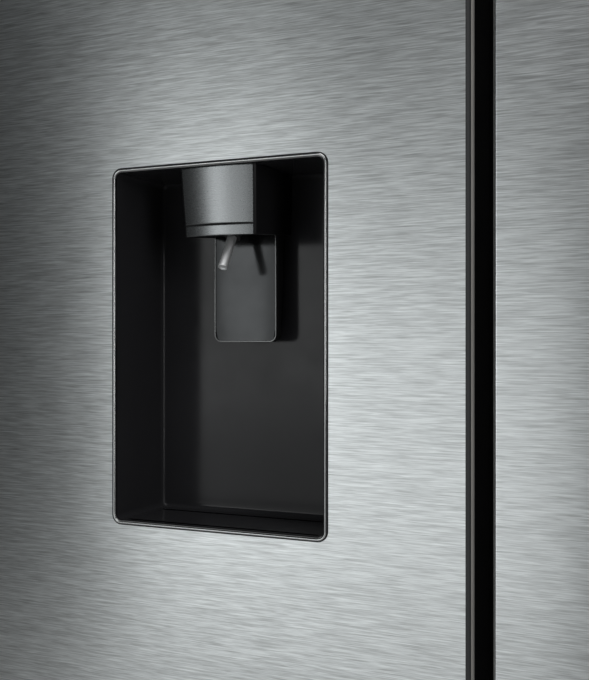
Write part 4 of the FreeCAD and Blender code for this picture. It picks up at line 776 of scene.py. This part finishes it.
def make_hardware():
    """Screws and bolts of the cabinet, and the folded flange along its top rear edge."""
    edge = 0.012
    up, forwards, backwards = (0, 0, 1), (0, -1, 0), (0, 1, 0)
    case_low, case_high = span("cabinet_shell")

    low, high = span("machine_cover")
    corners = [(x, z) for x in (low.x + edge, high.x - edge) for z in (low.z + edge, high.z - edge)]
    corners += [(x, high.z - edge) for x in (-0.16, 0.0, 0.34)]
    spots = [(x, high.y, z) for x, z in corners]
    screws("machine_cover_screws", ZINC, spots, backwards, 3.6, 2.2)

    low, high = span("back_panel")
    rows, end = 7, 0.03
    levels = [low.z + end + (high.z - low.z - 2 * end) * i / (rows - 1) for i in range(rows)]
    spots = [(x, case_high.y, z) for z in levels for x in (low.x + edge, high.x - edge)]
    screws("back_panel_screws", ZINC, spots, backwards, 3.6, 1.8)

    bm = bmesh.new()
    add_box(
        bm, (case_low.x + 0.005, case_high.y - 0.0012, high.z - 0.004),
        (case_high.x - 0.005, case_high.y - 0.0002, case_high.z - 0.0006), 0.0004,
    )
    finish_piece(bm, "case_rear_flange", CASE, "cabinet")

    bolt_places = [s * x for s in (-1, 1) for x in (0.412, 0.438)]
    top = span("top_hinges")[0].z + 0.020
    spots = [(x, y, top) for x in bolt_places for y in (-0.245, -0.185)]
    screws("top_hinge_bolts", ZINC, spots, up, 5.0, 4.0)
    spots = [(x, -0.2785, 0.047) for x in bolt_places]
    screws("bottom_hinge_bolts", ZINC, spots, forwards, 4.0, 3.0)

    high = span("top_cover")[1]
    spots = [(x, high.y, high.z - 0.017) for x in (-0.4, -0.13, 0.13, 0.4)]
    screws("top_cover_screws", DARK, spots, backwards, 3.2, 1.4)


def make_machine_parts():
    """Seam of the compressor, its pipes and filter, fins on the coils and the thread of the water valve."""
    low, high = span("compressor")
    x, y = (low.x + high.x) / 2, 0.240
    bm = bmesh.new()
    seam = [(76.3, 74.0), (78.0, 74.5), (78.0, 78.5), (76.3, 79.0)]
    add_lathe(bm, seam, (x, y, low.z), (0, 0, 1), steps=64)
    finish_piece(bm, "compressor_seam", BLACK_STEEL, "cabinet")

    coil_x = span("condenser")[0].x + 0.01
    right, filter_x, near, far = x + 0.030, x + 0.150, y + 0.020, y + 0.040
    out = [(right, near, 0.220), (right, near, 0.262), (filter_x, near, 0.262), (filter_x, near, 0.215)]
    out += [(coil_x, far, 0.215)]
    back = [(x - 0.030, near, 0.220), (x - 0.030, near, 0.270), (x - 0.030, y + 0.080, 0.270)]
    bm = bmesh.new()
    for path in (out, back):
        add_tube(bm, arc_points(path, 0.014), 0.0042)
    finish_piece(bm, "refrigerant_pipes", COPPER, "cabinet")
    bm = bmesh.new()
    filter_profile = [(9.0, 0.0), (11.0, 2.0), (11.0, 70.0), (9.0, 78.0), (4.0, 86.0)]
    add_lathe(bm, filter_profile, (filter_x, near, 0.120), (0, 0, 1), steps=32)
    finish_piece(bm, "filter_drier", COPPER, "cabinet")

    fins("condenser_fins", BLACK_STEEL, "condenser", 44, 0.006)
    fins("evaporator_fins", ALUMINIUM, "evaporator", 52, 0.004)

    turns, steps, pitch, radius = 8, 20, 0.0018, 0.0131
    inlet, rear = middle("power_inlet"), span("water_valve")[1].y
    path = []
    for i in range(turns * steps + 1):
        angle = math.tau * i / steps
        height = inlet.z + radius * math.sin(angle)
        path.append((radius * math.cos(angle) - inlet.x, rear - 0.001 - pitch * i / steps, height))
    bm = bmesh.new()
    add_tube(bm, path, 0.0006, 6)
    finish_piece(bm, "valve_thread", DARK, "cabinet")


# ---------------------------------------------------------------- inside
def make_lamps():
    """Flush lamp lenses in the compartment ceilings."""
    half, y0, y1 = 0.055, -0.237, -0.201
    for side in ("freezer", "fridge"):
        low, high = span(f"{side}_liner")
        x = (low.x + high.x) / 2
        bm = bmesh.new()
        add_box(bm, (x - half, y0, high.z - 0.0065), (x + half, y1, high.z - 0.0022), 0.002)
        finish_piece(bm, f"{side}_lamp_lens", WARM_WHITE, "cabinet")


def make_control_panel():
    """Touch keys and level marks on the panel in the fridge ceiling: plain shapes with no letters."""
    low, high = span("control_panel")
    surface = low.z + 0.0022
    keys = [(low.x + high.x) / 2 + i * 0.034 for i in (-2, -1, 0, 1, 2)]
    ring_profile = [(7.5, 0.0), (7.5, 0.35), (6.9, 0.6), (6.3, 0.35), (6.3, 0.0)]
    bm = bmesh.new()
    for x in keys:
        add_lathe(bm, ring_profile, (x, -0.159, surface), (0, 0, -1), steps=32)
    finish_piece(bm, "control_key_rings", GREY, "cabinet")
    bm = bmesh.new()
    for x in keys:
        add_box(bm, (x - 0.005, -0.1475, low.z + 0.0016), (x + 0.005, -0.1455, surface), 0.0003)
    finish_piece(bm, "control_level_bars", WHITE, "cabinet")


def make_shelf_trims():
    """Rounded front trims on the shelves; the levels are the heights of the shelves in millimetres."""
    gap, y0, y1, below, above = 0.004, -0.1535, -0.1465, 0.002, 0.0125
    for side, levels in (("freezer", (700, 930, 1160, 1384)), ("fridge", (560, 800, 1040, 1280, 1490))):
        low, high = span(f"{side}_liner")
        bm = bmesh.new()
        for level in levels:
            z = level * MM
            add_box(bm, (low.x + gap, y0, z - below), (high.x - gap, y1, z + above), 0.0022)
        finish_piece(bm, f"{side}_shelf_trims", ALUMINIUM, "cabinet")


def make_gasket_folds(door):
    """Bellows lines round a door seal."""
    low, high = (corner / MM for corner in span(f"{door}_gasket"))
    half, deep = 1.2, 1.2
    outer = rounded_outline(low.x, high.x, low.z, high.z, 5.0)
    inner = rounded_outline(low.x + deep, high.x - deep, low.z + deep, high.z - deep, 4.0)
    bm = bmesh.new()
    for y in (low.y + 3.0, low.y + 7.2):
        sides = ((outer, y + half), (outer, y), (outer, y - half), (inner, y))
        add_loft(bm, [[Vector((x, depth, z)) * MM for x, z in side] for side, depth in sides], closed=True)
    finish_piece(bm, f"{door}_gasket_folds", SOFT_BLACK, door)


def make_door_liner(door, pod=False):
    """Thermoformed inner face of a door: flat panel, soft raised border and the pod behind the dispenser."""
    low, high = (corner / MM for corner in span(f"{door}_liner"))
    bins_low, bins_high = (corner / MM for corner in span(f"{door}_bins"))
    thick, rise, round_ = 16.0, 34.0, 22.0
    x0, x1, z0, z1 = bins_low.x - thick, bins_high.x + thick, 122.0, 1685.0
    back = low.y + 2.0

    bm = bmesh.new()
    if pod:
        spot = CENTRE / MM
        rim = rounded_outline(low.x, high.x, low.z, high.z, 0.5)
        window = rounded_outline(spot.x - 100, spot.x + 100, spot.z - 160, spot.z + 240, 0.5)
        sides = ((rim, low.y), (rim, back), (window, back), (window, low.y))
        add_loft(bm, [[Vector((x, y, z)) * MM for x, z in side] for side, y in sides], closed=True)
    else:
        add_box(bm, (low.x * MM, low.y * MM, low.z * MM), (high.x * MM, back * MM, high.z * MM), 0.0005)
    turns = [math.radians(90 * i / 5) for i in range(6)]
    crown = [(5 - 5 * math.cos(a), rise - 5 + 5 * math.sin(a)) for a in turns]
    crown += [(thick - 5 + 5 * math.sin(a), rise - 5 + 5 * math.cos(a)) for a in turns]
    border = [(-2.5, -1.0), (-2.5, 0.05), (-0.8, 0.7), (0.0, 2.6)] + crown + [(thick, 0.05), (thick, -1.0)]
    loops = []
    for inset, depth in border:
        outline = rounded_outline(x0 + inset, x1 - inset, z0 + inset, z1 - inset, round_ - inset)
        loops.append([Vector((x, back + depth, z)) * MM for x, z in outline])
    add_loft(bm, loops, closed=True)
    if pod:
        half, top, bottom, deep = 105.0, 245.0, -165.0, 109.0

        def level(inset, z):
            side, near, far = half - inset, RECESS_DEPTH + 0.9, deep - inset
            return [at(x, y, z) for x, y in rounded_outline(-side, side, near, far, 9.0 - inset)]

        def chute_mouth(z):
            shift = 44.0 * (top - z) / 108.15
            return [at(x, y, z) for x, y in rounded_outline(-22.1, 22.1, 63.9 - shift, 106.1 - shift, 0.5)]

        add_loft(bm, [
            level(2.5, bottom), level(0.8, bottom + 0.7), level(0.0, bottom + 2.5), level(0.0, top - 2.0),
            level(0.6, top - 0.6), level(2.0, top), chute_mouth(top), chute_mouth(top - 22.0),
        ])
    finish_piece(bm, f"{door}_inner_shell", WHITE, door, (f"{door}_liner",), sharp=50)


# ---------------------------------------------------------------- studio
SOFTBOX_TINT = (0.975, 1.0, 0.998)
# Softboxes the steel mirrors: name, turns to the left and rises in degrees as the camera sees them, watts.
MIRRORED_SOFTBOXES = (
    ("key_softbox_high", (23.5, 33.5), (-4, 8), 3.76),
    ("key_softbox_low", (23.5, 33.5), (-16, -4), 1.66),
    ("fill_softbox_high", (8.5, 23.5), (-4, 8), 2.15),
    ("fill_softbox_low", (8.5, 23.5), (-16, -4), 3.04),
)


def area_light(name, location, target, size, power, color=(1, 1, 1)):
    """A rectangular softbox that faces a target."""
    light = bpy.data.lights.new(name, "AREA")
    light.shape = "RECTANGLE"
    light.size, light.size_y = size
    light.energy = power
    light.color = color
    lamp = bpy.data.objects.new(name, light)
    lamp.location = location
    lamp.rotation_euler = (Vector(target) - Vector(location)).to_track_quat("-Z", "Y").to_euler()
    bpy.context.scene.collection.objects.link(lamp)


def mirrored_softbox(name, turns, rises, power, reach=3.4):
    """A softbox where the camera sees it in the steel: between two turns to the left and two rises."""
    origin = Vector((CAMERA.x, 2 * FACE_Y - CAMERA.y, CAMERA.z))
    turn, rise = (math.radians(sum(pair) / 2) for pair in (turns, rises))
    away = Vector((-math.sin(turn) * math.cos(rise), -math.cos(turn) * math.cos(rise), math.sin(rise)))
    width, height = (2 * reach * math.tan(math.radians(pair[1] - pair[0]) / 2) for pair in (turns, rises))
    area_light(name, origin + away * reach, origin, (width, height), power, SOFTBOX_TINT)


def make_lights():
    """The softboxes that the steel mirrors and the ones that light the rest."""
    for name, turns, rises, power in MIRRORED_SOFTBOXES:
        mirrored_softbox(name, turns, rises, power)
    area_light("top_softbox", (0.4, -1.2, 3.4), (0, 0, 1.0), (2.2, 2.2), 30)
    area_light("rear_softbox", (1.6, 2.6, 2.4), (0, 0.3, 0.9), (2.4, 2.4), 24)
    beside_camera = CAMERA + Vector((1.35, -0.55, 0.35))
    area_light("right_softbox", beside_camera, (0, FACE_Y, CENTRE.z), (0.5, 1.2), 10)
    area_light("left_softbox", (-3.0, 1.2, 1.8), (-0.4, 0, 0.9), (1.4, 1.8), 26)


def make_floor():
    """A pale floor that bends up into a wall behind the appliance."""
    extent, wall, bend, radius = 14.0, 9.0, 5.0, 2.5
    turns = [math.radians(a) for a in range(10, 91, 10)]
    path = [(-extent, 0.0), (bend, 0.0)]
    path += [(bend + radius * math.sin(a), radius * (1 - math.cos(a))) for a in turns]
    path += [(bend + radius, wall)]
    bm = bmesh.new()
    rows = [[bm.verts.new((x, y, z)) for y, z in path] for x in (-extent, extent)]
    for i in range(len(path) - 1):
        bm.faces.new((rows[0][i], rows[1][i], rows[1][i + 1], rows[0][i + 1]))
    mesh = bpy.data.meshes.new("floor")
    bm.to_mesh(mesh)
    bm.free()
    for polygon in mesh.polygons:
        polygon.use_smooth = True
    look = moulded("studio_floor", (0.82, 0.82, 0.81), 0.70, grain=4.0, amount=0.008)
    mesh.materials.append(look.material)
    floor = bpy.data.objects.new("studio_floor", mesh)
    bpy.context.scene.collection.objects.link(floor)


def make_world():
    """Very dim, slightly cool surroundings."""
    world = bpy.data.worlds.new("studio")
    world.use_nodes = True
    background = world.node_tree.nodes["Background"]
    background.inputs["Color"].default_value = (0.78, 0.82, 0.84, 1)
    background.inputs["Strength"].default_value = 0.035
    bpy.context.scene.world = world


def make_camera():
    """A level camera close to the dispenser, turned to the left."""
    camera = bpy.data.cameras.new("camera")
    camera.sensor_width = SENSOR
    camera.lens = LENS
    camera.clip_start = 0.02
    seen = bpy.data.objects.new("camera", camera)
    seen.location = CAMERA
    seen.rotation_euler = (math.radians(90), 0, CAMERA_TURN)
    bpy.context.scene.collection.objects.link(seen)
    bpy.context.scene.camera = seen


# ---------------------------------------------------------------- build
dress_nodes()
make_bezel()
make_recess()
make_spout()
make_nozzle()
make_paddle()
make_drip_tray()
make_door_grip("freezer_door", 1)
make_door_grip("fridge_door", -1)
make_door_strip("freezer_door", 1)
make_hardware()
make_machine_parts()
make_lamps()
make_control_panel()
make_shelf_trims()
make_gasket_folds("freezer_door")
make_gasket_folds("fridge_door")
make_door_liner("freezer_door", pod=True)
make_door_liner("fridge_door")
make_floor()
make_world()
make_lights()
make_camera()
bpy.context.scene.view_settings.view_transform = "Standard"
